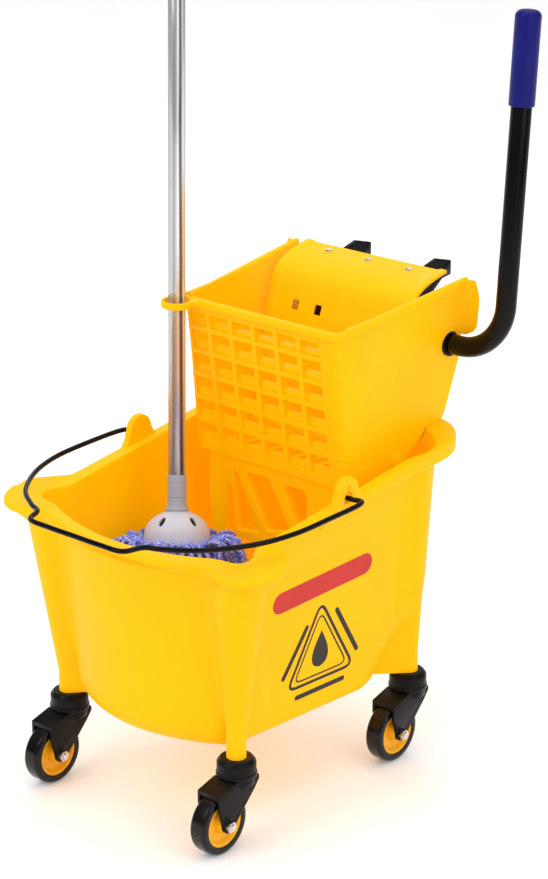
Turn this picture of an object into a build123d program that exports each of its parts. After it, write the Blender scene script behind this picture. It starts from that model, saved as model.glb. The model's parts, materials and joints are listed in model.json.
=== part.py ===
"""Mop and bucket with side-press wringer, as separate pieces.

Working frame while modelling: Z up from the floor, +X towards the lever side, +Y towards
the wringer, origin on the floor under the middle of the four caster stems.  At export every
piece is moved so that the origin is the bottom centre of the whole object's box.
"""
from build123d import *
from math import atan, cos, hypot, radians, sin, tan
import os

os.makedirs("parts", exist_ok=True)

# ---------------------------------------------------------------- driving dimensions (mm)
RUNNING_FIT = 0.05              # radial clearance of pins and shafts
SEAT_GAP = 0.3                  # clearance between pieces that only rest or slide past
SECTION_OVERRUN = 40.0          # how far a cutting outline runs past what it cuts

# casters
CASTER_HALF_TRACK = 136.3       # stem axes, +-X
CASTER_HALF_BASE = 157.8        # stem axes, +-Y
WHEEL_RADIUS = 37.5
TYRE_HALF_WIDTH = 11.5
TYRE_DEPTH = 9.5
CASTER_TRAIL = 31.7             # axle behind the stem axis
AXLE_RADIUS = 4.0
STEM_RADIUS = 5.5
STEM_INSERT = 34.0
CHEEK_THICKNESS = 3.7
CAP_RADIUS = 23.0
CAP_HEIGHT = 22.5
FORK_CROWN = 9.0

# bucket
UNDERSIDE_Z = 109.0
TUB_WALL = 3.6
TUB_BOTTOM = (124.0, 145.0, -148.0, -200.0, 170.0, 14.0, 55.0)
TUB_TOP = (157.0, 157.0, -176.0, -214.0, 214.0, 20.0, 58.0)
TUB_TOP_Z = 420.0
RIM_MID_Z = 381.5               # rim height above the origin
RIM_SLOPE = 0.13                # the rim climbs to the rear
RIM_HALF_WIDTH = 170.0
RIM_REAR_Y = 238.5
RIM_FRONT_Y = -222.0
RIM_FRONT_CORNER_Y = -187.0
RIM_CORNER_RADIUS = 58.0
LIP_DEPTH = 14.0
LIP_THICKNESS = 3.2
LOBE_RADIUS = 37.0              # round ledges over the front legs
LOBE_CENTRE = (169.0, -168.0)
LEG_RADIUS = 12.0
LEG_STRAIGHT = 30.0
FRONT_COLUMN_TOP = (151.5, -164.4, 42.5)
REAR_COLUMN_TOP = (136.3, 157.8, 27.0)
EAR_RADIUS = 20.0
EAR_HALF_BASE = 29.0
EAR_THICKNESS = 9.0
EAR_OUTER_X = 169.5
BAIL_PIVOT_Z = 388.0

# bail
BAIL_WIRE_RADIUS = 3.0
BAIL_ARM_X = 190.0
BAIL_REACH = 274.0
BAIL_GRIP_HALF = 71.0

# wringer
WRINGER_WALL = 4.0
WRINGER_FRONT = (38.5, 563.6)   # y, z of the front top edge
WRINGER_REAR = (259.0, 587.0)   # y, z of the rear top edge
WRINGER_LOW_Z = 367.0
WRINGER_LOW_FRONT_Y = 57.0
WRINGER_HALF_FRONT = 119.5
WRINGER_HALF_REAR = 134.0
WRINGER_HALF_LOW = 117.0
WRINGER_CORNER = 14.0
RIM_BEAD = 4.0
RIM_BEAD_HEIGHT = 9.0
GRILLE_DEPTH = 9.0
GRILLE_COLUMNS = 6
GRILLE_ROWS = 6
GRILLE_WINDOW = (25.0, 21.0)
GRILLE_PITCH = (31.0, 29.0)
GRILLE_CENTRE = (-16.0, 463.0)
FRAME_BAR = 12.0
FRAME_DEPTH = 60.0
FRAME_SCREW_RADIUS = 2.0
FRAME_FOOT_Z = 240.0
RING_CENTRE = (-117.0, 20.0, 560.0)
RING_OUTER = 20.3
RING_INNER = 14.5
RING_HEIGHT = 9.5

# press plate and lever
PLATE_HALF_WIDTH = 110.0
PLATE_THICKNESS = 4.0
PLATE_RIB = 9.0                 # thickness at the stiffening ribs
PLATE_SCREW_Y = 238.0
PLATE_SCREW_RADIUS = 2.0
PLATE_HINGE = (150.0, 381.0)    # y, z
HINGE_ROD_RADIUS = 4.0
PLATE_BARREL_RADIUS = 8.0
SHAFT_AXIS = (240.0, 508.0)     # y, z
LEVER_TUBE_RADIUS = 12.5
LEVER_TUBE_WALL = 2.0
LEVER_X = 205.0
LEVER_BEND = 62.0
LEVER_LEAN = 4.3                # degrees, backwards
LEVER_TOP_Z = 914.0
GRIP_RADIUS = 15.5
GRIP_LENGTH = 111.0
ARM_SPACING = 63.5
ARM_THICKNESS = 4.7
ARM_BOSS_RADIUS = 18.0
BUSH_WALL = 3.0
SPRING_WIRE = 2.5
SPRING_LENGTH = 24.0

# mop
DOME_CENTRE = (-60.0, -45.0, 296.0)
DOME_RADIUS = 39.0
DOME_HEIGHT = 30.0
DOME_SKIRT = 13.0
DOME_WALL = 3.0
SOCKET_RADIUS = 11.3
NECK_LENGTH = 14.4
COLLAR_LENGTH = 27.6
TUBE_RADIUS = 10.5
TUBE_WALL = 1.0
TUBE_LENGTH = 1120.0
TUBE_INSERT = 22.0
END_CAP_LENGTH = 62.0
END_CAP_RADIUS = 12.6
HANG_HOLE_RADIUS = 4.0
HANG_END = 22.0                 # solid tip of the end cap, above the tube
CLAMP_SCREW_RADIUS = 2.5
CLAMP_RADIUS = 37.0
CLAMP_THICKNESS = 4.0
YARN_LEVELS = ((286.0, 58.0), (264.0, 73.0), (222.0, 73.0), (113.2, 70.0))
YARN_FLOOR_SHIFT = (12.0, -10.0)

pieces = []


def keep(piece, name):
    """Label a finished piece and put it on the list for export."""
    piece.part.label = name
    pieces.append(piece.part)


# ---------------------------------------------------------------- bucket
rim_tilt = atan(RIM_SLOPE)
rim_plane = Plane(origin=(0, 0, RIM_MID_Z), x_dir=(1, 0, 0), z_dir=(0, -sin(rim_tilt), cos(rim_tilt)))
floor_plane = Plane.XY.offset(UNDERSIDE_Z)
top_plane = Plane.XY.offset(TUB_TOP_Z)


def tub_section(plane, size, inset):
    """Tub outline at one level: straight sides and rear, bowed front."""
    front, rear, corner_y, bow_y, rear_y, front_radius, rear_radius = size
    with BuildSketch(plane) as section:
        with BuildLine():
            Polyline(
                (front - inset, corner_y + inset),
                (rear - inset, rear_y - inset),
                (inset - rear, rear_y - inset),
                (inset - front, corner_y + inset),
            )
            ThreePointArc(
                (inset - front, corner_y + inset), (0, bow_y + inset), (front - inset, corner_y + inset)
            )
        make_face()
        fillet(section.vertices().group_by(Axis.Y)[-1], rear_radius - inset)
        fillet(section.vertices().group_by(Axis.Y)[0], front_radius - inset)
    return section.sketch


def rim_outline(plane, inset):
    """Outer edge of the rim in its own tilted plane, with a round ledge over each front leg."""
    stretch = 1 / cos(rim_tilt)
    half = RIM_HALF_WIDTH - inset
    corner = RIM_FRONT_CORNER_Y * stretch + inset
    with BuildSketch(plane) as outline:
        with BuildLine():
            Polyline(
                (half, corner),
                (half, RIM_REAR_Y * stretch - inset),
                (-half, RIM_REAR_Y * stretch - inset),
                (-half, corner),
            )
            ThreePointArc((-half, corner), (0, RIM_FRONT_Y * stretch + inset), (half, corner))
        make_face()
        fillet(outline.vertices().group_by(Axis.Y)[-1], RIM_CORNER_RADIUS - inset)
        for side in (-1, 1):
            with Locations((side * LOBE_CENTRE[0], LOBE_CENTRE[1] * stretch)):
                Circle(LOBE_RADIUS - inset)
    return outline.sketch


columns = [
    (side * CASTER_HALF_TRACK, end * CASTER_HALF_BASE, side * top[0], top[1], top[2])
    for end, top in ((-1, FRONT_COLUMN_TOP), (1, REAR_COLUMN_TOP))
    for side in (-1, 1)
]

with BuildPart() as bucket:
    add(tub_section(floor_plane, TUB_BOTTOM, 0))
    add(tub_section(top_plane, TUB_TOP, 0))
    loft()
    for leg_x, leg_y, top_x, top_y, top_radius in columns:
        with BuildSketch(floor_plane):
            with Locations((leg_x, leg_y)):
                Circle(LEG_RADIUS)
        extrude(amount=LEG_STRAIGHT)
        with BuildSketch(floor_plane.offset(LEG_STRAIGHT)):
            with Locations((leg_x, leg_y)):
                Circle(LEG_RADIUS)
        with BuildSketch(top_plane):
            with Locations((top_x, top_y)):
                Circle(top_radius)
        loft()
    # trim the top to the tilted rim, then add the turned-down lip
    with BuildSketch(rim_plane):
        Rectangle(4 * RIM_HALF_WIDTH, 4 * RIM_REAR_Y)
    extrude(amount=TUB_TOP_Z / 2, mode=Mode.SUBTRACT)
    extrude(rim_outline(rim_plane, 0), amount=-LIP_DEPTH)

with BuildPart() as lip_hollow:
    extrude(rim_outline(rim_plane.offset(-LIP_THICKNESS), LIP_THICKNESS), amount=-LIP_DEPTH)
    add(tub_section(floor_plane, TUB_BOTTOM, 0))
    add(tub_section(top_plane, TUB_TOP, 0))
    loft(mode=Mode.SUBTRACT)
    for leg_x, leg_y, top_x, top_y, top_radius in columns:
        with BuildSketch(floor_plane.offset(LEG_STRAIGHT)):
            with Locations((leg_x, leg_y)):
                Circle(LEG_RADIUS)
        with BuildSketch(top_plane):
            with Locations((top_x, top_y)):
                Circle(top_radius)
        loft(mode=Mode.SUBTRACT)

with BuildPart() as tub_cavity:
    add(tub_section(floor_plane.offset(TUB_WALL), TUB_BOTTOM, TUB_WALL))
    add(tub_section(top_plane, TUB_TOP, TUB_WALL))
    loft()
    for leg_x, leg_y, top_x, top_y, top_radius in columns:
        pocket_top = top_radius - TUB_WALL
        with BuildSketch(floor_plane.offset(LEG_STRAIGHT + STEM_INSERT)):
            with Locations((leg_x, leg_y)):
                Circle(LEG_RADIUS - TUB_WALL)
        with BuildSketch(top_plane):
            with Locations((top_x, top_y)):
                Circle(pocket_top)
        loft()

ear_centre_z = BAIL_PIVOT_Z + 2
with BuildPart() as ears:
    for side in (-1, 1):
        with BuildSketch(Plane.YZ.offset(side * EAR_OUTER_X)):
            with BuildLine():
                Polyline(
                    (-EAR_HALF_BASE, RIM_MID_Z - EAR_THICKNESS),
                    (EAR_HALF_BASE, RIM_MID_Z - EAR_THICKNESS),
                    (EAR_RADIUS - 2, ear_centre_z + EAR_RADIUS / 3),
                    (2 - EAR_RADIUS, ear_centre_z + EAR_RADIUS / 3),
                    close=True,
                )
            make_face()
            with Locations((0, ear_centre_z)):
                Circle(EAR_RADIUS)
        extrude(amount=-side * EAR_THICKNESS)

with BuildPart() as bucket_tub:
    add(bucket.part)
    add(lip_hollow.part, mode=Mode.SUBTRACT)
    add(tub_cavity.part, mode=Mode.SUBTRACT)
    add(ears.part)
    for side in (-1, 1):
        with BuildSketch(Plane.YZ.offset(side * EAR_OUTER_X)):
            with Locations((0, BAIL_PIVOT_Z)):
                Circle(BAIL_WIRE_RADIUS + RUNNING_FIT)
        extrude(amount=20, both=True, mode=Mode.SUBTRACT)
    for leg_x, leg_y, *_ in columns:
        with BuildSketch(floor_plane):
            with Locations((leg_x, leg_y)):
                Circle(STEM_RADIUS + RUNNING_FIT)
        extrude(amount=STEM_INSERT + 1, mode=Mode.SUBTRACT)
keep(bucket_tub, "bucket_tub")

# ---------------------------------------------------------------- bail
bail_bends = [
    (EAR_OUTER_X - EAR_THICKNESS - 4, 0, BAIL_PIVOT_Z),
    (BAIL_ARM_X, 0, BAIL_PIVOT_Z),
    (BAIL_ARM_X, -112, BAIL_PIVOT_Z - 3),
    (BAIL_ARM_X - 17, -168, BAIL_PIVOT_Z - 5),
    (BAIL_ARM_X - 52, -217, BAIL_PIVOT_Z - 6),
    (BAIL_GRIP_HALF + 8, -248, BAIL_PIVOT_Z - 7),
    (BAIL_GRIP_HALF, -BAIL_REACH, BAIL_PIVOT_Z - 8),
]
bail_radii = [8, 60, 60, 60, 12, 8]
with BuildPart() as bail_wire:
    with BuildLine() as bail_path:
        FilletPolyline(
            *bail_bends,
            *[(-x, y, z) for x, y, z in reversed(bail_bends)],
            radius=bail_radii + bail_radii[::-1],
        )
    with BuildSketch(Plane(origin=bail_path.line @ 0, z_dir=bail_path.line % 0)):
        Circle(BAIL_WIRE_RADIUS)
    sweep()
keep(bail_wire, "bail_wire")

# ---------------------------------------------------------------- casters
cap_base_z = UNDERSIDE_Z - CAP_HEIGHT
crown_top_z = cap_base_z - SEAT_GAP
crown_base_z = crown_top_z - FORK_CROWN
cheek_inner = TYRE_HALF_WIDTH + 1.8
cheek_outer = cheek_inner + CHEEK_THICKNESS
hub_half = cheek_inner - SEAT_GAP
hub_radius = WHEEL_RADIUS - TYRE_DEPTH
clearance_radius = WHEEL_RADIUS + 2


def caster(index, stem_x, stem_y):
    """One swivel caster: cap and stem stay with the bucket, the rest swivels and rolls."""
    axle_y = stem_y - CASTER_TRAIL
    axle_plane = Plane.YZ.offset(stem_x)
    wheel_plane = Plane(origin=(stem_x, axle_y, WHEEL_RADIUS), x_dir=(1, 0, 0), z_dir=(0, 0, 1))

    with BuildPart() as cap:
        with BuildSketch(Plane(origin=(stem_x, stem_y, 0), x_dir=(1, 0, 0), z_dir=(0, -1, 0))):
            with BuildLine():
                Polyline(
                    (STEM_RADIUS + RUNNING_FIT, cap_base_z),
                    (CAP_RADIUS + 1, cap_base_z),
                    (CAP_RADIUS + 1, cap_base_z + 5),
                    (CAP_RADIUS, cap_base_z + 6),
                    (CAP_RADIUS, UNDERSIDE_Z - 5),
                    (CAP_RADIUS - 4, UNDERSIDE_Z),
                    (STEM_RADIUS + RUNNING_FIT, UNDERSIDE_Z),
                    close=True,
                )
            make_face()
        revolve(axis=Axis((stem_x, stem_y, 0), (0, 0, 1)))
    keep(cap, f"caster_cap_{index}")

    with BuildPart() as stem:
        with BuildSketch(Plane.XY.offset(crown_base_z)):
            with Locations((stem_x, stem_y)):
                Circle(STEM_RADIUS)
        extrude(amount=UNDERSIDE_Z + STEM_INSERT - crown_base_z)
        chamfer(stem.edges().sort_by(Axis.Z)[-1], 1.5)
        with BuildSketch(Plane.XY.offset(crown_base_z - SEAT_GAP)):
            with Locations((stem_x, stem_y)):
                Circle(STEM_RADIUS + 3.5)
        extrude(amount=-3)
        with BuildSketch(Plane.XY.offset(crown_base_z)):
            with Locations((stem_x, stem_y)):
                Circle(STEM_RADIUS)
        extrude(amount=-SEAT_GAP)
    keep(stem, f"caster_stem_{index}")

    with BuildPart() as fork:
        with BuildSketch(axle_plane):
            with BuildLine():
                Polyline(
                    (stem_y - 20, crown_top_z),
                    (stem_y + 20, crown_top_z),
                    (stem_y + 20, crown_top_z - 7),
                    (stem_y + 12, crown_top_z - 17),
                    (axle_y + 7.5, WHEEL_RADIUS - 5),
                    (axle_y - 7.5, WHEEL_RADIUS - 3),
                    (axle_y - 16, WHEEL_RADIUS + 26),
                    (axle_y - 16, WHEEL_RADIUS + 41),
                    close=True,
                )
            make_face()
            with Locations((axle_y, WHEEL_RADIUS)):
                Circle(2.2 * AXLE_RADIUS)
        extrude(amount=cheek_outer, both=True)
        fillet(fork.edges().filter_by(Axis.X).group_by(Axis.Z)[-1], 3)
        with BuildSketch(axle_plane):
            with Locations((axle_y, WHEEL_RADIUS)):
                Circle(clearance_radius)
        extrude(amount=cheek_inner, both=True, mode=Mode.SUBTRACT)
        with BuildSketch(Plane.XY.offset(crown_base_z)):
            with Locations((stem_x, stem_y)):
                Circle(cheek_inner - 0.5)
        extrude(amount=-crown_base_z, mode=Mode.SUBTRACT)
        with BuildSketch(Plane.XY.offset(crown_base_z)):
            with Locations((stem_x, stem_y)):
                Circle(CAP_RADIUS - 1.5)
        extrude(amount=FORK_CROWN)
        with BuildSketch(Plane.XY.offset(crown_base_z)):
            with Locations((stem_x, stem_y)):
                Circle(STEM_RADIUS + RUNNING_FIT)
        extrude(amount=FORK_CROWN, mode=Mode.SUBTRACT)
        with BuildSketch(axle_plane):
            with Locations((axle_y, WHEEL_RADIUS)):
                Circle(AXLE_RADIUS + RUNNING_FIT)
        extrude(amount=cheek_outer, both=True, mode=Mode.SUBTRACT)
    keep(fork, f"caster_fork_{index}")

    with BuildPart() as bolt:
        with BuildSketch(axle_plane.offset(-cheek_outer)):
            with Locations((axle_y, WHEEL_RADIUS)):
                Circle(AXLE_RADIUS)
        extrude(amount=2 * cheek_outer + 7.5)
        with BuildSketch(axle_plane.offset(-cheek_outer)):
            with Locations((axle_y, WHEEL_RADIUS)):
                RegularPolygon(1.75 * AXLE_RADIUS, 6)
        extrude(amount=-4)
    keep(bolt, f"axle_bolt_{index}")

    with BuildPart() as nut:
        with BuildSketch(axle_plane.offset(cheek_outer)):
            with Locations((axle_y, WHEEL_RADIUS)):
                RegularPolygon(1.75 * AXLE_RADIUS, 6)
                Circle(AXLE_RADIUS + RUNNING_FIT, mode=Mode.SUBTRACT)
        extrude(amount=5.5)
    keep(nut, f"axle_nut_{index}")

    with BuildPart() as hub:
        with BuildSketch(wheel_plane):
            with BuildLine():
                Polyline(
                    (-hub_half, AXLE_RADIUS + RUNNING_FIT),
                    (hub_half, AXLE_RADIUS + RUNNING_FIT),
                    (hub_half, 10),
                    (3.5, 12),
                    (3.5, hub_radius - 6),
                    (TYRE_HALF_WIDTH - 1.5, hub_radius - 3),
                    (TYRE_HALF_WIDTH - 1.5, hub_radius),
                    (1.5 - TYRE_HALF_WIDTH, hub_radius),
                    (1.5 - TYRE_HALF_WIDTH, hub_radius - 3),
                    (-3.5, hub_radius - 6),
                    (-3.5, 12),
                    (-hub_half, 10),
                    close=True,
                )
            make_face()
        revolve(axis=Axis((stem_x, axle_y, WHEEL_RADIUS), (1, 0, 0)))
    keep(hub, f"wheel_hub_{index}")

    with BuildPart() as tyre:
        with BuildSketch(wheel_plane) as tread:
            with Locations((0, hub_radius + TYRE_DEPTH / 2)):
                Rectangle(2 * TYRE_HALF_WIDTH, TYRE_DEPTH)
            fillet(tread.vertices().group_by(Axis.Y)[-1], 5)
            fillet(tread.vertices().group_by(Axis.Y)[0], 1)
        revolve(axis=Axis((stem_x, axle_y, WHEEL_RADIUS), (1, 0, 0)))
    keep(tyre, f"wheel_tyre_{index}")


corners = [
    (side * CASTER_HALF_TRACK, end * CASTER_HALF_BASE) for end in (-1, 1) for side in (-1, 1)
]
for number, (corner_x, corner_y) in enumerate(corners, 1):
    caster(number, corner_x, corner_y)

# ---------------------------------------------------------------- wringer box
top_slope = atan((WRINGER_REAR[1] - WRINGER_FRONT[1]) / (WRINGER_REAR[0] - WRINGER_FRONT[0]))
wringer_top = Plane(
    origin=(0, WRINGER_FRONT[0], WRINGER_FRONT[1]),
    x_dir=(1, 0, 0),
    z_dir=(0, -sin(top_slope), cos(top_slope)),
)
wringer_low = Plane.XY.offset(WRINGER_LOW_Z)
top_length = hypot(WRINGER_REAR[0] - WRINGER_FRONT[0], WRINGER_REAR[1] - WRINGER_FRONT[1])
front_lean = atan((WRINGER_LOW_FRONT_Y - WRINGER_FRONT[0]) / (WRINGER_FRONT[1] - WRINGER_LOW_Z))


def wringer_section(plane, front_y, rear_y, half_front, half_rear, inset):
    """Outline of the wringer box at one level, open to any rear length."""
    with BuildSketch(plane) as section:
        with BuildLine():
            Polyline(
                (inset - half_front, front_y + inset),
                (half_front - inset, front_y + inset),
                (half_rear - inset, rear_y),
                (inset - half_rear, rear_y),
                close=True,
            )
        make_face()
        fillet(section.vertices().group_by(Axis.Y)[0], WRINGER_CORNER - inset)
    return section.sketch


def wringer_prism(inset, rear_extra):
    """Tapered solid of the wringer box, its walls moved in by inset."""
    with BuildPart() as prism:
        add(
            wringer_section(
                wringer_top, 0, top_length + rear_extra, WRINGER_HALF_FRONT, WRINGER_HALF_REAR, inset
            )
        )
        add(
            wringer_section(
                wringer_low,
                WRINGER_LOW_FRONT_Y,
                WRINGER_REAR[0] + rear_extra,
                WRINGER_HALF_LOW,
                WRINGER_HALF_LOW,
                inset,
            )
        )
        loft()
    return prism.part


def rim_z(y):
    """Height of the bucket rim at one depth."""
    return RIM_MID_Z + RIM_SLOPE * y


hang_y = (RIM_REAR_Y - 35, RIM_REAR_Y)
side_profile = [
    (WRINGER_LOW_FRONT_Y - SECTION_OVERRUN, WRINGER_LOW_Z),
    (139, WRINGER_LOW_Z),
    (179, WRINGER_LOW_Z + 14),
    (hang_y[0] - 4, rim_z(hang_y[0]) - 6),
    (hang_y[0], rim_z(hang_y[0]) + SEAT_GAP),
    (hang_y[1], rim_z(hang_y[1]) + SEAT_GAP),
    (WRINGER_REAR[0] - 8, WRINGER_REAR[1] - 130),
    (WRINGER_REAR[0], WRINGER_REAR[1] - 102),
    (WRINGER_REAR[0], WRINGER_REAR[1] + SECTION_OVERRUN),
    (WRINGER_LOW_FRONT_Y - SECTION_OVERRUN, WRINGER_REAR[1] + SECTION_OVERRUN),
]
back_wall_top = SHAFT_AXIS[1] - LEVER_TUBE_RADIUS - 8

frame_half = WRINGER_HALF_LOW - 11
frame_front_y = WRINGER_LOW_FRONT_Y + 5
screw_spots = [
    (side * (frame_half - FRAME_BAR / 2), frame_front_y + y) for side in (-1, 1) for y in (8, 52)
]

with BuildPart() as wringer_hollow:
    add(wringer_prism(WRINGER_WALL, 40))

with BuildPart() as side_mask:
    with BuildSketch(Plane.YZ):
        Polygon(*side_profile, align=None)
    extrude(amount=2 * WRINGER_HALF_REAR, both=True)

bush_outer = LEVER_TUBE_RADIUS + BUSH_WALL
column_steps = [i - (GRILLE_COLUMNS - 1) / 2 for i in range(GRILLE_COLUMNS)]
row_steps = [i - (GRILLE_ROWS - 1) / 2 for i in range(GRILLE_ROWS)]
window_x = [GRILLE_CENTRE[0] + step * GRILLE_PITCH[0] for step in column_steps]
window_z = [GRILLE_CENTRE[1] + step * GRILLE_PITCH[1] for step in row_steps]
grille_width = GRILLE_COLUMNS * GRILLE_PITCH[0]
grille_height = GRILLE_ROWS * GRILLE_PITCH[1]

with BuildPart() as wringer_box:
    add(wringer_prism(0, 0))
    add(wringer_hollow.part, mode=Mode.SUBTRACT)
    # low wall across the rear, under the lever shaft
    with BuildSketch(Plane.XZ.offset(-(hang_y[0] + WRINGER_WALL))):
        with Locations((0, (WRINGER_LOW_Z + back_wall_top) / 2)):
            Rectangle(2 * WRINGER_HALF_LOW - 2, back_wall_top - WRINGER_LOW_Z)
    extrude(amount=WRINGER_WALL)
    # deep front grille between the front corners
    grille_plane = Plane(
        origin=(0, WRINGER_LOW_FRONT_Y, WRINGER_LOW_Z),
        x_dir=(1, 0, 0),
        z_dir=(0, -cos(front_lean), -sin(front_lean)),
    )
    with BuildSketch(grille_plane.offset(-GRILLE_DEPTH)):
        with Locations((GRILLE_CENTRE[0], grille_height / 2 + 8)):
            Rectangle(grille_width, grille_height)
    extrude(amount=GRILLE_DEPTH - 1)
    with BuildSketch(grille_plane.offset(5)):
        for x in window_x:
            for z in window_z:
                with Locations((x, z - WRINGER_LOW_Z)):
                    Rectangle(*GRILLE_WINDOW)
    extrude(amount=-GRILLE_DEPTH - 10, mode=Mode.SUBTRACT)
    add(side_mask.part, mode=Mode.INTERSECT)
    # floor sill that carries the press plate hinge
    with BuildSketch(Plane.XY.offset(WRINGER_LOW_Z)):
        with Locations((0, (WRINGER_LOW_FRONT_Y + PLATE_HINGE[0]) / 2 - 6)):
            Rectangle(2 * WRINGER_HALF_LOW - WRINGER_WALL, PLATE_HINGE[0] - WRINGER_LOW_FRONT_Y - 16)
        for x in range(-90, 91, 30):
            with Locations((x, (WRINGER_LOW_FRONT_Y + PLATE_HINGE[0]) / 2)):
                SlotOverall(50, 12, rotation=70, mode=Mode.SUBTRACT)
        with Locations(*screw_spots):
            Circle(FRAME_SCREW_RADIUS + RUNNING_FIT, mode=Mode.SUBTRACT)
    extrude(amount=WRINGER_WALL)
    # rear wings beside the lever bearing
    for side in (-1, 1):
        with BuildSketch(Plane.XZ.offset(-WRINGER_REAR[0])):
            with BuildLine():
                Polyline(
                    (side * (WRINGER_HALF_LOW + 2), SHAFT_AXIS[1] + 17),
                    (side * (WRINGER_HALF_REAR + 14), SHAFT_AXIS[1] + 17),
                    (side * (WRINGER_HALF_REAR + 20), SHAFT_AXIS[1] + 27),
                    (side * (WRINGER_HALF_REAR + 17), SHAFT_AXIS[1] + 55),
                    (side * (WRINGER_HALF_REAR + 6), WRINGER_REAR[1] - 1),
                    (side * (WRINGER_HALF_REAR - 3), WRINGER_REAR[1] - 1),
                    close=True,
                )
            make_face()
        extrude(amount=5)
    # bores for the lever bushings and the hinge rod
    with BuildSketch(Plane.YZ):
        with Locations(SHAFT_AXIS):
            Circle(bush_outer + RUNNING_FIT)
        with Locations(PLATE_HINGE):
            Circle(HINGE_ROD_RADIUS + RUNNING_FIT)
    extrude(amount=2 * WRINGER_HALF_REAR, both=True, mode=Mode.SUBTRACT)

with BuildPart() as rim_bead:
    add(wringer_prism(-RIM_BEAD, 0))
    add(wringer_hollow.part, mode=Mode.SUBTRACT)
    with BuildSketch(wringer_top.offset(-RIM_BEAD_HEIGHT)):
        Rectangle(6 * WRINGER_HALF_REAR, 6 * WRINGER_HALF_REAR)
    extrude(amount=-2 * WRINGER_LOW_Z, mode=Mode.SUBTRACT)
    add(side_mask.part, mode=Mode.INTERSECT)

with BuildPart() as wringer_body:
    add(wringer_box.part)
    add(rim_bead.part)
keep(wringer_body, "wringer_body")

# ---------------------------------------------------------------- lower frame and mop ring
frame_height = WRINGER_LOW_Z - FRAME_FOOT_Z
with BuildPart() as wringer_frame:
    # front lattice: top beam, foot beam, legs and two diagonals
    with BuildSketch(Plane.XZ.offset(-frame_front_y - FRAME_BAR)):
        with Locations((0, WRINGER_LOW_Z - frame_height / 2)):
            Rectangle(2 * frame_half, frame_height)
        for side in (-1, 1):
            with BuildLine(mode=Mode.PRIVATE) as gap:
                Polyline(
                    (side * (frame_half - FRAME_BAR), WRINGER_LOW_Z - 2 * FRAME_BAR),
                    (side * 2 * FRAME_BAR, WRINGER_LOW_Z - 2 * FRAME_BAR),
                    (side * (frame_half - FRAME_BAR), FRAME_FOOT_Z + 2 * FRAME_BAR),
                    close=True,
                )
            add(make_face(gap.line, mode=Mode.PRIVATE), mode=Mode.SUBTRACT)
        with BuildLine(mode=Mode.PRIVATE) as gap:
            Polyline(
                (-2 * FRAME_BAR, FRAME_FOOT_Z + FRAME_BAR),
                (0, WRINGER_LOW_Z - 3 * FRAME_BAR),
                (2 * FRAME_BAR, FRAME_FOOT_Z + FRAME_BAR),
                close=True,
            )
        add(make_face(gap.line, mode=Mode.PRIVATE), mode=Mode.SUBTRACT)
    extrude(amount=FRAME_BAR)
    # side panels and the struts that run down to the rear
    with BuildSketch(Plane.YZ):
        Polygon(
            (frame_front_y, WRINGER_LOW_Z),
            (frame_front_y + FRAME_DEPTH, WRINGER_LOW_Z),
            (frame_front_y + FRAME_DEPTH - 15, FRAME_FOOT_Z + 30),
            (frame_front_y + FRAME_BAR, FRAME_FOOT_Z),
            (frame_front_y, FRAME_FOOT_Z),
            align=None,
        )
    extrude(amount=frame_half, both=True)
    with BuildSketch(Plane.YZ):
        Polygon(
            (frame_front_y + FRAME_BAR, WRINGER_LOW_Z - FRAME_BAR / 2),
            (frame_front_y + 2 * FRAME_DEPTH, WRINGER_LOW_Z - FRAME_BAR / 2),
            (frame_front_y + 2 * FRAME_DEPTH, FRAME_FOOT_Z - 10),
            (frame_front_y + FRAME_BAR, FRAME_FOOT_Z - 10),
            align=None,
        )
    extrude(amount=frame_half - FRAME_BAR, both=True, mode=Mode.SUBTRACT)
    with BuildSketch(Plane.XY.offset(WRINGER_LOW_Z)):
        with Locations(*screw_spots):
            Circle(FRAME_SCREW_RADIUS + RUNNING_FIT)
    extrude(amount=-16, mode=Mode.SUBTRACT)
keep(wringer_frame, "wringer_frame")

with BuildPart() as frame_screws:
    with BuildSketch(Plane.XY.offset(WRINGER_LOW_Z + WRINGER_WALL)):
        with Locations(*screw_spots):
            Circle(2 * FRAME_SCREW_RADIUS)
    extrude(amount=2)
    with BuildSketch(Plane.XY.offset(WRINGER_LOW_Z + WRINGER_WALL)):
        with Locations(*screw_spots):
            Circle(FRAME_SCREW_RADIUS)
    extrude(amount=-WRINGER_WALL - 14)
keep(frame_screws, "frame_screws")

ring_plane = Plane(origin=(RING_CENTRE[0], RING_CENTRE[1], RING_CENTRE[2] - RING_HEIGHT / 2))
with BuildPart() as mop_holder_ring:
    with BuildSketch(ring_plane):
        Circle(RING_OUTER)
        with Locations((RING_OUTER, RING_OUTER * 0.6)):
            Rectangle(2 * RING_OUTER, RING_OUTER)
    extrude(amount=RING_HEIGHT)
    with BuildSketch(ring_plane):
        Circle(RING_INNER)
    extrude(amount=RING_HEIGHT, mode=Mode.SUBTRACT)
    add(wringer_prism(-RIM_BEAD, 0), mode=Mode.SUBTRACT)
keep(mop_holder_ring, "mop_holder_ring")

# ---------------------------------------------------------------- press plate on its hinge rod
side_wall_x = WRINGER_HALF_LOW + 1.5
with BuildPart() as hinge_rod:
    with BuildSketch(Plane.YZ):
        with Locations(PLATE_HINGE):
            Circle(HINGE_ROD_RADIUS)
    extrude(amount=side_wall_x + 4, both=True)
keep(hinge_rod, "hinge_rod")

with BuildPart() as rod_push_nuts:
    for side in (-1, 1):
        with BuildSketch(Plane.YZ.offset(side * side_wall_x)):
            with Locations(PLATE_HINGE):
                Circle(2 * HINGE_ROD_RADIUS)
                Circle(HINGE_ROD_RADIUS + RUNNING_FIT, mode=Mode.SUBTRACT)
        extrude(amount=side * 2)
keep(rod_push_nuts, "rod_push_nuts")

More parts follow.
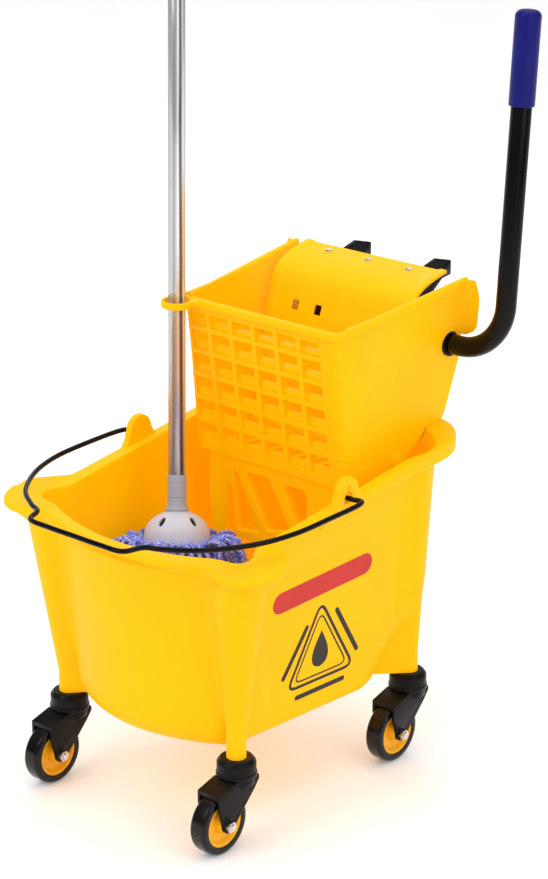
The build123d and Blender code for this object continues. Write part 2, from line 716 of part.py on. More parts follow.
plate_curve = [
    (PLATE_HINGE[0], PLATE_HINGE[1] + HINGE_ROD_RADIUS + 2),
    (174, 515),
    (181, 538),
    (189, 563),
    (201, 576),
    (222, 585),
    (253, 592),
]
lip_tilt = atan((plate_curve[-1][1] - plate_curve[-2][1]) / (plate_curve[-1][0] - plate_curve[-2][0]))
plate_screw_z = plate_curve[-1][1] - (plate_curve[-1][0] - PLATE_SCREW_Y) * tan(lip_tilt)


def plate_profile(depth):
    """Side view of the press plate, thickened towards its rear."""
    with BuildSketch(Plane.YZ) as profile:
        with BuildLine():
            Polyline(*plate_curve)
            offset(amount=depth, side=Side.RIGHT)
        make_face()
    return profile.sketch


def lip_plane(x, lift):
    """Plane on the top lip of the press plate, square to it."""
    return Plane(
        origin=(x, PLATE_SCREW_Y - lift * sin(lip_tilt), plate_screw_z + lift * cos(lip_tilt)),
        x_dir=(1, 0, 0),
        z_dir=(0, -sin(lip_tilt), cos(lip_tilt)),
    )


with BuildPart() as press_plate:
    extrude(plate_profile(PLATE_THICKNESS), amount=PLATE_HALF_WIDTH, both=True)
    for side in (-1, 1):
        rib = extrude(plate_profile(PLATE_RIB), amount=side * PLATE_THICKNESS, mode=Mode.PRIVATE)
        add(rib.moved(Location((side * (PLATE_HALF_WIDTH - PLATE_THICKNESS), 0, 0))))
    with BuildSketch(Plane.YZ):
        with Locations(PLATE_HINGE):
            Circle(PLATE_BARREL_RADIUS)
    extrude(amount=PLATE_HALF_WIDTH, both=True)
    with BuildSketch(Plane.YZ):
        with Locations(PLATE_HINGE):
            Circle(HINGE_ROD_RADIUS + RUNNING_FIT)
    extrude(amount=PLATE_HALF_WIDTH, both=True, mode=Mode.SUBTRACT)
    with BuildSketch(Plane.XZ.offset(-SHAFT_AXIS[0])):
        with Locations((-68, 532), (-32, 532)):
            Rectangle(12, 12)
    extrude(amount=SHAFT_AXIS[0] - PLATE_HINGE[0], mode=Mode.SUBTRACT)
    for x in (-ARM_SPACING, 0, ARM_SPACING):
        with BuildSketch(lip_plane(x, 1)):
            Circle(PLATE_SCREW_RADIUS + RUNNING_FIT)
        extrude(amount=-PLATE_RIB, mode=Mode.SUBTRACT)
keep(press_plate, "press_plate")

with BuildPart() as plate_screws:
    for x in (-ARM_SPACING, 0, ARM_SPACING):
        with BuildSketch(lip_plane(x, 0)):
            Circle(2 * PLATE_SCREW_RADIUS)
        extrude(amount=1.8)
        with BuildSketch(lip_plane(x, 0)):
            Circle(PLATE_SCREW_RADIUS)
        extrude(amount=-PLATE_THICKNESS - 4)
keep(plate_screws, "plate_screws")

# ---------------------------------------------------------------- lever
bush_inner_x = WRINGER_HALF_LOW + 3
bush_outer_x = WRINGER_HALF_LOW + 13
tube_start_x = bush_inner_x - 2
tube_bore = LEVER_TUBE_RADIUS - LEVER_TUBE_WALL
shaft_radius = tube_bore - RUNNING_FIT
lean = radians(LEVER_LEAN)
lever_rise = LEVER_TOP_Z - SHAFT_AXIS[1]
lever_top = (LEVER_X, SHAFT_AXIS[0] + lever_rise * tan(lean), LEVER_TOP_Z)

with BuildPart() as lever_shaft:
    with BuildSketch(Plane.YZ.offset(-bush_outer_x - 2)):
        with Locations(SHAFT_AXIS):
            Circle(shaft_radius)
    extrude(amount=2 * bush_outer_x + 6)
    chamfer(lever_shaft.edges().filter_by(GeomType.CIRCLE), 1)
keep(lever_shaft, "lever_shaft")

for name, side, bore in (("left", -1, shaft_radius), ("right", 1, LEVER_TUBE_RADIUS)):
    with BuildPart() as bushing:
        with BuildSketch(Plane.YZ.offset(side * bush_inner_x)):
            with Locations(SHAFT_AXIS):
                Circle(bush_outer)
                Circle(bore + RUNNING_FIT, mode=Mode.SUBTRACT)
        extrude(amount=side * (bush_outer_x - bush_inner_x))
    keep(bushing, f"shaft_bushing_{name}")

with BuildPart() as lever_tube:
    with BuildLine() as lever_path:
        FilletPolyline(
            (tube_start_x, *SHAFT_AXIS), (LEVER_X, *SHAFT_AXIS), lever_top, radius=LEVER_BEND
        )
    with BuildSketch(Plane.YZ.offset(tube_start_x)):
        with Locations(SHAFT_AXIS):
            Circle(LEVER_TUBE_RADIUS)
            Circle(tube_bore, mode=Mode.SUBTRACT)
    sweep()
keep(lever_tube, "lever_tube")

grip_plane = Plane(origin=lever_top, x_dir=(1, 0, 0), z_dir=(0, sin(lean), cos(lean)))
with BuildPart() as lever_grip:
    with BuildSketch(grip_plane.offset(3 - GRIP_LENGTH)):
        Circle(GRIP_RADIUS)
    extrude(amount=GRIP_LENGTH)
    fillet(lever_grip.edges().sort_by(Axis.Z)[-1], 8)
    fillet(lever_grip.edges().sort_by(Axis.Z)[0], 1.5)
    with BuildSketch(grip_plane):
        Circle(LEVER_TUBE_RADIUS + RUNNING_FIT)
    extrude(amount=-GRIP_LENGTH, mode=Mode.SUBTRACT)
keep(lever_grip, "lever_grip")

for name, side in (("left", -1), ("right", 1)):
    with BuildPart() as press_arm:
        with BuildSketch(Plane.YZ.offset(side * ARM_SPACING - ARM_THICKNESS / 2)):
            Polygon(
                (224, 516), (250, 566), (267, 586), (290, 592), (319, 584), (319, 566), (302, 564),
                (268, 540), (257, 505), align=None,
            )
            with Locations(SHAFT_AXIS):
                Circle(ARM_BOSS_RADIUS)
                Circle(shaft_radius + RUNNING_FIT, mode=Mode.SUBTRACT)
        extrude(amount=ARM_THICKNESS)
    keep(press_arm, f"press_arm_{name}")

with BuildPart() as shaft_collars:
    for side in (-1, 1):
        with BuildSketch(Plane.YZ.offset(side * (ARM_SPACING + ARM_THICKNESS / 2))):
            with Locations(SHAFT_AXIS):
                Circle(ARM_BOSS_RADIUS - 2)
                Circle(shaft_radius + RUNNING_FIT, mode=Mode.SUBTRACT)
        extrude(amount=side * 9)
keep(shaft_collars, "shaft_collars")

for name, side in (("left", -1), ("right", 1)):
    with BuildPart() as return_spring:
        with BuildSketch(Plane.YZ.offset(side * (bush_inner_x - 3))):
            with Locations(SHAFT_AXIS):
                Circle(shaft_radius + SEAT_GAP + SPRING_WIRE)
                Circle(shaft_radius + SEAT_GAP, mode=Mode.SUBTRACT)
        extrude(amount=-side * SPRING_LENGTH)
    keep(return_spring, f"return_spring_{name}")

# ---------------------------------------------------------------- mop
mop_axis = (Vector(*RING_CENTRE) - Vector(*DOME_CENTRE)).normalized()
mop_plane = Plane(origin=DOME_CENTRE, z_dir=mop_axis)
mop_side = Plane(origin=DOME_CENTRE, x_dir=mop_plane.x_dir, z_dir=mop_plane.x_dir.cross(mop_axis))
collar_base = DOME_HEIGHT + NECK_LENGTH
collar_top = collar_base + COLLAR_LENGTH
tube_base = collar_top - TUBE_INSERT
tube_top = collar_top + TUBE_LENGTH
spigot_radius = SOCKET_RADIUS - 2.5


def mop_disc(radius, low, high, mode=Mode.ADD):
    """Round slug on the mop axis between two heights above the dome centre."""
    with BuildSketch(mop_plane.offset(low)) as disc:
        Circle(radius)
    extrude(disc.sketch, amount=high - low, mode=mode)


with BuildPart() as mop_dome:
    with BuildSketch(mop_side):
        with BuildLine():
            EllipticalCenterArc((0, 0), DOME_RADIUS, DOME_HEIGHT, start_angle=0, arc_size=90)
            Line((0, DOME_HEIGHT), (0, DOME_HEIGHT - DOME_WALL))
            EllipticalCenterArc(
                (0, 0), DOME_RADIUS - DOME_WALL, DOME_HEIGHT - DOME_WALL, start_angle=0, arc_size=90
            )
            Polyline(
                (DOME_RADIUS - DOME_WALL, 0),
                (DOME_RADIUS - DOME_WALL, -DOME_SKIRT),
                (DOME_RADIUS - 1, -DOME_SKIRT),
                (DOME_RADIUS, 0),
            )
        make_face()
    revolve(axis=Axis(Vector(*DOME_CENTRE), mop_axis))
    # oval vents round the shoulder
    for turn in range(6):
        vent_plane = mop_side.rotated((0, 60 * turn + 30, 0))
        with BuildSketch(vent_plane):
            with Locations((0, DOME_HEIGHT * 0.55)):
                SlotOverall(11, 5)
        extrude(amount=DOME_RADIUS, mode=Mode.SUBTRACT)
    # screw boss inside, neck and spigot above
    mop_disc(8, -DOME_SKIRT, DOME_HEIGHT - 1)
    mop_disc(SOCKET_RADIUS, DOME_HEIGHT - 3, collar_base)
    mop_disc(spigot_radius, collar_base, tube_base)
    mop_disc(CLAMP_SCREW_RADIUS + RUNNING_FIT, -DOME_SKIRT, 8, Mode.SUBTRACT)
keep(mop_dome, "mop_dome")

with BuildPart() as mop_collar:
    mop_disc(SOCKET_RADIUS, collar_base, collar_top)
    mop_disc(spigot_radius + RUNNING_FIT, collar_base, tube_base, Mode.SUBTRACT)
    mop_disc(TUBE_RADIUS + RUNNING_FIT, tube_base, collar_top, Mode.SUBTRACT)
keep(mop_collar, "mop_collar")

with BuildPart() as mop_tube:
    mop_disc(TUBE_RADIUS, tube_base, tube_top)
    mop_disc(TUBE_RADIUS - TUBE_WALL, tube_base, tube_top, Mode.SUBTRACT)
keep(mop_tube, "mop_tube")

cap_low = tube_top - END_CAP_LENGTH + HANG_END
with BuildPart() as mop_end_cap:
    mop_disc(END_CAP_RADIUS, cap_low, tube_top + HANG_END)
    fillet(mop_end_cap.edges().sort_by(Axis.Z)[-1], 6)
    mop_disc(TUBE_RADIUS + RUNNING_FIT, cap_low, tube_top, Mode.SUBTRACT)
    with BuildSketch(mop_side):
        with Locations((0, tube_top + HANG_END / 2)):
            Circle(HANG_HOLE_RADIUS)
    extrude(amount=2 * END_CAP_RADIUS, both=True, mode=Mode.SUBTRACT)
keep(mop_end_cap, "mop_end_cap")

clamp_low = -DOME_SKIRT - CLAMP_THICKNESS
with BuildPart() as mop_clamp_disc:
    mop_disc(CLAMP_RADIUS, clamp_low, -DOME_SKIRT)
    mop_disc(CLAMP_SCREW_RADIUS + RUNNING_FIT, clamp_low, -DOME_SKIRT, Mode.SUBTRACT)
keep(mop_clamp_disc, "mop_clamp_disc")

with BuildPart() as mop_clamp_screw:
    mop_disc(2.4 * CLAMP_SCREW_RADIUS, clamp_low - 3, clamp_low)
    mop_disc(CLAMP_SCREW_RADIUS, clamp_low, 6)
keep(mop_clamp_screw, "mop_clamp_screw")

with BuildPart() as mop_yarn:
    for level_z, level_radius in YARN_LEVELS:
        drop = (YARN_LEVELS[0][0] - level_z) / (YARN_LEVELS[0][0] - YARN_LEVELS[-1][0])
        with BuildSketch(Plane.XY.offset(level_z)):
            with Locations(
                (DOME_CENTRE[0] + drop * YARN_FLOOR_SHIFT[0], DOME_CENTRE[1] + drop * YARN_FLOOR_SHIFT[1])
            ):
                Circle(level_radius)
    loft(ruled=True)
    mop_disc(DOME_RADIUS + 1, clamp_low - SEAT_GAP, 3 * DOME_HEIGHT, Mode.SUBTRACT)
    mop_disc(2.4 * CLAMP_SCREW_RADIUS + 1, clamp_low - 4, clamp_low, Mode.SUBTRACT)
keep(mop_yarn, "mop_yarn")

# ---------------------------------------------------------------- export
whole = Compound(children=[piece.moved(Location()) for piece in pieces]).bounding_box()
origin = Vector((whole.min.X + whole.max.X) / 2, (whole.min.Y + whole.max.Y) / 2, whole.min.Z)
print("origin of the finished part in the working frame:", origin)
for piece in pieces:
    export_step(piece.moved(Location(-origin)), f"parts/{piece.label}.step")
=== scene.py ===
"""Looks of a wheeled mop bucket with its wringer, lever and mop.

Shapes are laid out in millimetres in the bucket's own frame: X towards the lever side, Y towards
the wringer, Z up from the floor, with the origin between the four caster stems.  Shape.piece()
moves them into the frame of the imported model, in metres.
"""

import json
from math import atan2, cos, hypot, pi, radians, sin, sqrt, tan

import bmesh
import bpy
import numpy as np
from mathutils import Matrix, Vector


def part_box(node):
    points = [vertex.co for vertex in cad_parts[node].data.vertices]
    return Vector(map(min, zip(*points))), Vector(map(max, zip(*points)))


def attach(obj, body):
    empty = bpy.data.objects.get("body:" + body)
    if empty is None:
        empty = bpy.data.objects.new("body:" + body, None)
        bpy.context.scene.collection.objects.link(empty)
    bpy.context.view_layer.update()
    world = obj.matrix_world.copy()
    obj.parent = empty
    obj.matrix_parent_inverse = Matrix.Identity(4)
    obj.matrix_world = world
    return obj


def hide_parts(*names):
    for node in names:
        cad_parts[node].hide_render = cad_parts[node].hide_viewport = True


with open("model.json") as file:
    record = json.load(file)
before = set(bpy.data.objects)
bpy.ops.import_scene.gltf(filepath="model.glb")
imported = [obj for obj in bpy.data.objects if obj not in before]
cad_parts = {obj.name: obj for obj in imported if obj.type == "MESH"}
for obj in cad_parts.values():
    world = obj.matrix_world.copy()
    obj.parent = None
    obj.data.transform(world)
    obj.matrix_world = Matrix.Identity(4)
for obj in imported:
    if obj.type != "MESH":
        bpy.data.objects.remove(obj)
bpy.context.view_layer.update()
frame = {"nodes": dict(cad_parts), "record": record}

MM = 0.001
nodes = frame["nodes"]


def middle(node):
    """Middle of a CAD node's box, in metres."""
    low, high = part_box(node)
    return (low + high) / 2


stem_spots = [middle(f"caster_stem_{i}") for i in range(1, 5)]
HOME = sum(stem_spots, Vector()) / 4
HOME.z = 0


def spot(x, y, z):
    """A point of the bucket's frame, in mm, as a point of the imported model, in metres."""
    return HOME + Vector((x, y, z)) * MM


def placed(name, data):
    """Object made from its data and linked to the scene."""
    made = bpy.data.objects.new(name, data)
    bpy.context.scene.collection.objects.link(made)
    return made


def applied(holder):
    """Mesh of an object with its modifiers applied; the object itself is removed."""
    result = bpy.data.meshes.new_from_object(holder.evaluated_get(bpy.context.evaluated_depsgraph_get()))
    bpy.data.objects.remove(holder)
    return result


# ------------------------------------------------------------------ camera, light and floor
CAMERA_AT = (1928.4, -2136.0, 1453.6)
CAMERA_TURN = 41.25             # degrees round Z
CAMERA_DIP = 19.63              # degrees below the horizon
FILM = 36.0
LENS = 105.97
SHIFT_UP = -0.0069

camera_data = bpy.data.cameras.new("view_camera")
camera_data.lens = LENS
camera_data.sensor_width = FILM
camera_data.shift_y = SHIFT_UP
camera_data.clip_end = 50
camera = placed("view_camera", camera_data)
camera.location = spot(*CAMERA_AT)
camera.rotation_euler = (radians(90 - CAMERA_DIP), 0, radians(CAMERA_TURN))
bpy.context.scene.camera = camera
bpy.context.scene.view_settings.view_transform = "Standard"


LIGHT_AIM = (0, 0, 0.45)


def lamp(name, place, size, power):
    """Soft rectangular studio light aimed at the middle of the piece."""
    data = bpy.data.lights.new(name, "AREA")
    data.shape = "RECTANGLE"
    data.size, data.size_y = size
    data.energy = power
    lamp_object = placed(name, data)
    lamp_object.location = Vector(place)
    lamp_object.rotation_euler = (Vector(LIGHT_AIM) - Vector(place)).to_track_quat("-Z", "Y").to_euler()


lamp("key_light", (-0.6, -2.6, 2.7), (1.6, 1.6), 22)
lamp("side_light", (2.8, -0.4, 1.7), (1.6, 1.8), 13)
lamp("top_light", (0.1, 0.4, 3.2), (2.2, 2.2), 20)
lamp("back_light", (-2.2, 2.2, 1.8), (1.4, 1.6), 9)

SKY_PLAIN = 1.0                 # strength that lights the piece
SKY_SEEN = 1.0                  # strength behind it
SKY_MIRRORED = (0.02, 0.55)     # darkest and brightest band in reflections


def make_world():
    """White surround with soft dark bands that only reflections see."""
    world = bpy.data.worlds.new("studio")
    world.use_nodes = True
    tree = world.node_tree
    sky = tree.nodes["Background"]
    sky.inputs["Color"].default_value = (1, 1, 1, 1)
    rays = tree.nodes.new("ShaderNodeLightPath")
    wave = tree.nodes.new("ShaderNodeTexWave")
    wave.bands_direction = "X"
    wave.inputs["Scale"].default_value = 0.55
    wave.inputs["Phase Offset"].default_value = 1.1
    tree.links.new(tree.nodes.new("ShaderNodeTexCoord").outputs["Generated"], wave.inputs["Vector"])
    band = tree.nodes.new("ShaderNodeMapRange")
    band.inputs["To Min"].default_value, band.inputs["To Max"].default_value = SKY_MIRRORED
    tree.links.new(wave.outputs["Fac"], band.inputs["Value"])
    glossy = tree.nodes.new("ShaderNodeMix")
    glossy.inputs[2].default_value = SKY_PLAIN
    tree.links.new(rays.outputs["Is Glossy Ray"], glossy.inputs[0])
    tree.links.new(band.outputs["Result"], glossy.inputs[3])
    seen = tree.nodes.new("ShaderNodeMix")
    seen.inputs[3].default_value = SKY_SEEN
    tree.links.new(rays.outputs["Is Camera Ray"], seen.inputs[0])
    tree.links.new(glossy.outputs[0], seen.inputs[2])
    tree.links.new(seen.outputs[0], sky.inputs["Strength"])
    bpy.context.scene.world = world


make_world()


# ------------------------------------------------------------------ shader groups
def new_group(name, inputs, outputs):
    """Empty shader group with float or colour sockets given as (name, default)."""
    group = bpy.data.node_groups.new(name, "ShaderNodeTree")
    for label, value in inputs:
        kind = "NodeSocketFloat" if isinstance(value, (int, float)) else "NodeSocketColor"
        socket = group.interface.new_socket(label, in_out="INPUT", socket_type=kind)
        socket.default_value = value
    for label, kind in outputs:
        group.interface.new_socket(label, in_out="OUTPUT", socket_type=kind)
    return group, group.nodes.new("NodeGroupInput"), group.nodes.new("NodeGroupOutput")


def feed(tree, value, socket):
    """Gives a socket its value: a number, a colour or another socket to link."""
    if isinstance(value, (int, float, tuple)):
        socket.default_value = value
    else:
        tree.links.new(value, socket)


def noise(tree, vector, scale, detail=3.0, roughness=0.55):
    """Noise texture; scale is a number or an output socket."""
    node = tree.nodes.new("ShaderNodeTexNoise")
    node.inputs["Detail"].default_value = detail
    node.inputs["Roughness"].default_value = roughness
    tree.links.new(vector, node.inputs["Vector"])
    feed(tree, scale, node.inputs["Scale"])
    return node.outputs["Fac"]


def math_node(tree, operation, *values):
    """Math node; each value is a number or a socket."""
    node = tree.nodes.new("ShaderNodeMath")
    node.operation = operation
    for slot_number, value in enumerate(values):
        feed(tree, value, node.inputs[slot_number])
    return node.outputs[0]


def spread(tree, value, low, high, to_low=0.0, to_high=1.0):
    """A value's range from low to high, spread over another range and held at its ends."""
    node = tree.nodes.new("ShaderNodeMapRange")
    for label, number in (("From Min", low), ("From Max", high), ("To Min", to_low), ("To Max", to_high)):
        feed(tree, number, node.inputs[label])
    tree.links.new(value, node.inputs["Value"])
    return node.outputs["Result"]


def blend_colours(tree, factor, first, second):
    """Colour mix; the factor and the colours are values or sockets."""
    node = tree.nodes.new("ShaderNodeMix")
    node.data_type = "RGBA"
    feed(tree, factor, node.inputs["Factor"])
    for label, colour in (("A", first), ("B", second)):
        feed(tree, colour, [s for s in node.inputs if s.name == label and s.type == "RGBA"][0])
    return [s for s in node.outputs if s.type == "RGBA"][0]


def make_use_marks():
    """Faint scuffs and settled dust: masks for colour and roughness."""
    group, given, result = new_group(
        "use_marks",
        [("Scuffs", 0.3), ("Dust", 0.2), ("Scale", 60.0)],
        [("Scuff Mask", "NodeSocketFloat"), ("Dust Mask", "NodeSocketFloat"), ("Tone", "NodeSocketFloat")],
    )
    place = group.nodes.new("ShaderNodeTexCoord").outputs["Object"]
    stretch = group.nodes.new("ShaderNodeMapping")
    stretch.inputs["Scale"].default_value = (1.0, 1.0, 5.0)
    stretch.inputs["Rotation"].default_value = (0.5, 0.35, 0.9)
    group.links.new(place, stretch.inputs["Vector"])
    streak = noise(group, stretch.outputs["Vector"], given.outputs["Scale"], 5.0, 0.7)
    patch = noise(group, place, 9.0, 2.0)
    scuff = math_node(group, "MULTIPLY", spread(group, streak, 0.62, 0.74), spread(group, patch, 0.5, 0.68))
    scuffed = math_node(group, "MULTIPLY", scuff, given.outputs["Scuffs"])
    group.links.new(scuffed, result.inputs["Scuff Mask"])
    facing = group.nodes.new("ShaderNodeSeparateXYZ")
    group.links.new(group.nodes.new("ShaderNodeNewGeometry").outputs["Normal"], facing.inputs[0])
    upward = spread(group, facing.outputs["Z"], 0.35, 1.0)
    settled = math_node(group, "MULTIPLY", upward, noise(group, place, 30.0))
    dusty = math_node(group, "MULTIPLY", settled, given.outputs["Dust"])
    group.links.new(dusty, result.inputs["Dust Mask"])
    group.links.new(noise(group, place, 5.5, 3.0), result.inputs["Tone"])
    return group


def make_moulded_grain():
    """Height of moulded plastic: spark-eroded grain over slow waves from cooling."""
    group, given, result = new_group(
        "moulded_grain", [("Grain", 0.5), ("Waves", 0.5), ("Scale", 1400.0)], [("Height", "NodeSocketFloat")]
    )
    place = group.nodes.new("ShaderNodeTexCoord").outputs["Object"]
    pits = noise(group, place, given.outputs["Scale"], 2.0)
    fine = math_node(group, "MULTIPLY", pits, given.outputs["Grain"])
    slow = math_node(group, "MULTIPLY", noise(group, place, 14.0, 1.5), given.outputs["Waves"])
    group.links.new(math_node(group, "ADD", fine, slow), result.inputs["Height"])
    return group


def make_brushed_lines():
    """Height and mask of drawn metal: fine lines along one axis."""
    group, given, result = new_group(
        "brushed_lines", [("Scale", 500.0), ("Strength", 1.0)],
        [("Height", "NodeSocketFloat"), ("Mask", "NodeSocketFloat")],
    )
    place = group.nodes.new("ShaderNodeTexCoord").outputs["Object"]
    stretch = group.nodes.new("ShaderNodeMapping")
    stretch.inputs["Scale"].default_value = (1.0, 1.0, 0.02)
    group.links.new(place, stretch.inputs["Vector"])
    lines = noise(group, stretch.outputs["Vector"], given.outputs["Scale"], 2.0)
    group.links.new(math_node(group, "MULTIPLY", lines, given.outputs["Strength"]), result.inputs["Height"])
    group.links.new(lines, result.inputs["Mask"])
    return group


USE_MARKS = make_use_marks()
MOULDED_GRAIN = make_moulded_grain()
BRUSHED_LINES = make_brushed_lines()


def use_group(tree, group, **values):
    """Group node with its inputs set; underscores stand for spaces."""
    node = tree.nodes.new("ShaderNodeGroup")
    node.node_tree = group
    for label, value in values.items():
        node.inputs[label.replace("_", " ")].default_value = value
    return node


def bump(tree, shader, height, strength, distance):
    """Bump from a height socket into a shader's normal."""
    node = tree.nodes.new("ShaderNodeBump")
    node.inputs["Strength"].default_value = strength
    node.inputs["Distance"].default_value = distance
    tree.links.new(height, node.inputs["Height"])
    tree.links.new(node.outputs["Normal"], shader.inputs["Normal"])


def new_material(name):
    """Material with its node tree and Principled shader."""
    material = bpy.data.materials.new(name)
    material.use_nodes = True
    tree = material.node_tree
    return material, tree, tree.nodes["Principled BSDF"]


NO_GLOW = (0, 0, 0, 1)
DUST = (0.75, 0.72, 0.66, 1)


def moulded(name, colour, deep, rough, grain, waves, scuffs, dust, pale=None, shine=0.3, glow=NO_GLOW):
    """Moulded plastic or paint with tone changes, scuffs, dust and grain, and a painted glow where one is given.
    """
    material, tree, shader = new_material(name)
    marks = use_group(tree, USE_MARKS, Scuffs=scuffs, Dust=dust)
    pale = pale or tuple(min(1.0, c * 1.15 + 0.05) for c in colour[:3]) + (1,)
    toned = blend_colours(tree, spread(tree, marks.outputs["Tone"], 0.35, 0.7), deep, colour)
    scuffed = blend_colours(tree, marks.outputs["Scuff Mask"], toned, pale)
    dusty = blend_colours(tree, marks.outputs["Dust Mask"], scuffed, DUST)
    tree.links.new(dusty, shader.inputs["Base Color"])
    worn = math_node(tree, "ADD", marks.outputs["Scuff Mask"], marks.outputs["Dust Mask"])
    speck = spread(tree, marks.outputs["Tone"], 0.3, 0.7, rough - 0.05, rough + 0.05)
    dulled = math_node(tree, "ADD", speck, math_node(tree, "MULTIPLY", worn, 0.3))
    tree.links.new(dulled, shader.inputs["Roughness"])
    height = use_group(tree, MOULDED_GRAIN, Grain=grain, Waves=waves).outputs["Height"]
    bump(tree, shader, height, 0.35, 0.0006)
    shader.inputs["Specular IOR Level"].default_value = shine
    # painted glow: emission that lights the surface though it is no lamp
    shader.inputs["Emission Color"].default_value = glow
    shader.inputs["Emission Strength"].default_value = 1.0
    return material


def metal(name, colour, rough, lines, strength):
    """Metal with drawn lines, tone changes and a few dull spots."""
    material, tree, shader = new_material(name)
    marks = use_group(tree, USE_MARKS, Scuffs=0.5, Dust=0.1)
    drawn = use_group(tree, BRUSHED_LINES, Scale=lines, Strength=strength)
    dark = tuple(c * 0.82 for c in colour[:3]) + (1,)
    tree.links.new(blend_colours(tree, drawn.outputs["Mask"], dark, colour), shader.inputs["Base Color"])
    shader.inputs["Metallic"].default_value = 1.0
    worn = math_node(tree, "MULTIPLY", marks.outputs["Scuff Mask"], 0.25)
    base = spread(tree, drawn.outputs["Mask"], 0.3, 0.7, rough * 0.7, rough * 1.3)
    tree.links.new(math_node(tree, "ADD", base, worn), shader.inputs["Roughness"])
    bump(tree, shader, drawn.outputs["Height"], 0.15, 0.0002)
    return material


YELLOW = (0.74, 0.40, 0.0, 1)
YELLOW_DEEP = (0.70, 0.365, 0.0, 1)
YELLOW_PALE = (0.80, 0.46, 0.004, 1)
YELLOW_PAINTED_GLOW = (0.36, 0.15, 0.0, 1)       # painted glow: emission that stands in for light coming through the thin walls
yellow = moulded(
    "yellow_plastic", YELLOW, YELLOW_DEEP, 0.42, 0.45, 0.5, 0.1, 0.006, YELLOW_PALE, 0.09, YELLOW_PAINTED_GLOW,
)
BLACK = (0.004, 0.004, 0.0045, 1)
BLACK_DEEP = (0.002, 0.002, 0.0022, 1)
black_plastic = moulded("black_plastic", BLACK, BLACK_DEEP, 0.3, 0.9, 0.3, 0.1, 0.01, shine=0.16)
black_paint = moulded("black_paint", BLACK, BLACK_DEEP, 0.2, 0.25, 0.4, 0.1, 0.008, shine=0.16)
GRIP = (0.004, 0.004, 0.17, 1)
GRIP_DEEP = (0.003, 0.003, 0.12, 1)
blue_grip = moulded("blue_grip", GRIP, GRIP_DEEP, 0.36, 0.8, 0.3, 0.1, 0.01, shine=0.2)
AMBER = (0.95, 0.48, 0.01, 1)
AMBER_DEEP = (0.85, 0.38, 0.005, 1)
amber_plastic = moulded("amber_hub", AMBER, AMBER_DEEP, 0.28, 0.3, 0.3, 0.3, 0.06)
tyre_rubber = moulded("tyre_rubber", BLACK, BLACK_DEEP, 0.16, 0.4, 0.4, 0.15, 0.02)
GREY = (0.56, 0.60, 0.68, 1)
GREY_DEEP = (0.50, 0.54, 0.62, 1)
grey_plastic = moulded("grey_plastic", GREY, GREY_DEEP, 0.36, 0.4, 0.3, 0.2, 0.05)
COLLAR_GREY = (0.34, 0.38, 0.46, 1)
COLLAR_DEEP = (0.30, 0.33, 0.41, 1)
collar_plastic = moulded("collar_plastic", COLLAR_GREY, COLLAR_DEEP, 0.36, 0.4, 0.3, 0.2, 0.05)


# painted reflection: tone of the polished tube at shares of its width, as seen from the camera
PAINTED_REFLECTION_STREAKS = (
    (0.0, 0.10), (0.10, 0.42), (0.24, 0.55), (0.36, 0.26), (0.50, 0.62), (0.60, 0.95), (0.66, 0.05),
    (0.76, 0.03), (0.82, 0.85), (0.92, 0.6), (1.0, 0.12),
)


def make_painted_reflection_steel():
    """Polished tube with a painted reflection: long light and dark streaks in its colour that follow its round
    side.
    """
    material = metal("steel_painted_reflection", (0.74, 0.74, 0.76, 1), 0.18, 900.0, 0.8)
    tree = material.node_tree
    shader = tree.nodes["Principled BSDF"]
    # painted reflection: the streak tone follows how each normal faces the camera's heading
    facing = tree.nodes.new("ShaderNodeVectorMath")
    facing.operation = "DOT_PRODUCT"
    facing.inputs[1].default_value = (cos(radians(CAMERA_TURN)), sin(radians(CAMERA_TURN)), 0.0)
    tree.links.new(tree.nodes.new("ShaderNodeNewGeometry").outputs["Normal"], facing.inputs[0])
    place = spread(tree, facing.outputs["Value"], -1.0, 1.0)
    ramp = tree.nodes.new("ShaderNodeValToRGB")
    while len(ramp.color_ramp.elements) < len(PAINTED_REFLECTION_STREAKS):
        ramp.color_ramp.elements.new(0.5)
    for element, (position, tone) in zip(ramp.color_ramp.elements, PAINTED_REFLECTION_STREAKS):
        element.position = position
        element.color = (tone, tone, tone * 1.01, 1)
    tree.links.new(place, ramp.inputs["Fac"])
    # the painted reflection streaks make up most of the base colour
    drawn = shader.inputs["Base Color"].links[0].from_socket
    tree.links.new(blend_colours(tree, 0.85, drawn, ramp.outputs["Color"]), shader.inputs["Base Color"])
    shader.inputs["Metallic"].default_value = 0.55
    return material


steel_painted_reflection = make_painted_reflection_steel()
zinc = metal("zinc_plate", (0.78, 0.78, 0.80, 1), 0.24, 600.0, 1.0)
RED = (0.62, 0.02, 0.01, 1)
RED_DEEP = (0.55, 0.015, 0.008, 1)
label_red = moulded("label_red", RED, RED_DEEP, 0.4, 0.3, 0.2, 0.6, 0.03, pale=YELLOW)
INK = (0.02, 0.015, 0.01, 1)
INK_DEEP = (0.015, 0.01, 0.008, 1)
label_black = moulded("label_black", INK, INK_DEEP, 0.4, 0.3, 0.2, 0.6, 0.03, pale=YELLOW)
WHITE = (0.85, 0.85, 0.86, 1)
WHITE_DEEP = (0.78, 0.79, 0.8, 1)
white_tag = moulded("white_tag", WHITE, WHITE_DEEP, 0.6, 0.9, 0.2, 0.1, 0.05)

floor_paint, floor_tree, floor_shader = new_material("floor_paint")
floor_place = floor_tree.nodes.new("ShaderNodeTexCoord").outputs["Object"]
floor_tone = spread(floor_tree, noise(floor_tree, floor_place, 2.0), 0.3, 0.7)
floor_tree.links.new(
    blend_colours(floor_tree, floor_tone, (0.90, 0.90, 0.905, 1), (0.93, 0.93, 0.935, 1)),
    floor_shader.inputs["Base Color"],
)
floor_shader.inputs["Roughness"].default_value = 0.75
floor_shader.inputs["Emission Color"].default_value = (1, 1, 1, 1)
floor_shader.inputs["Emission Strength"].default_value = 0.1

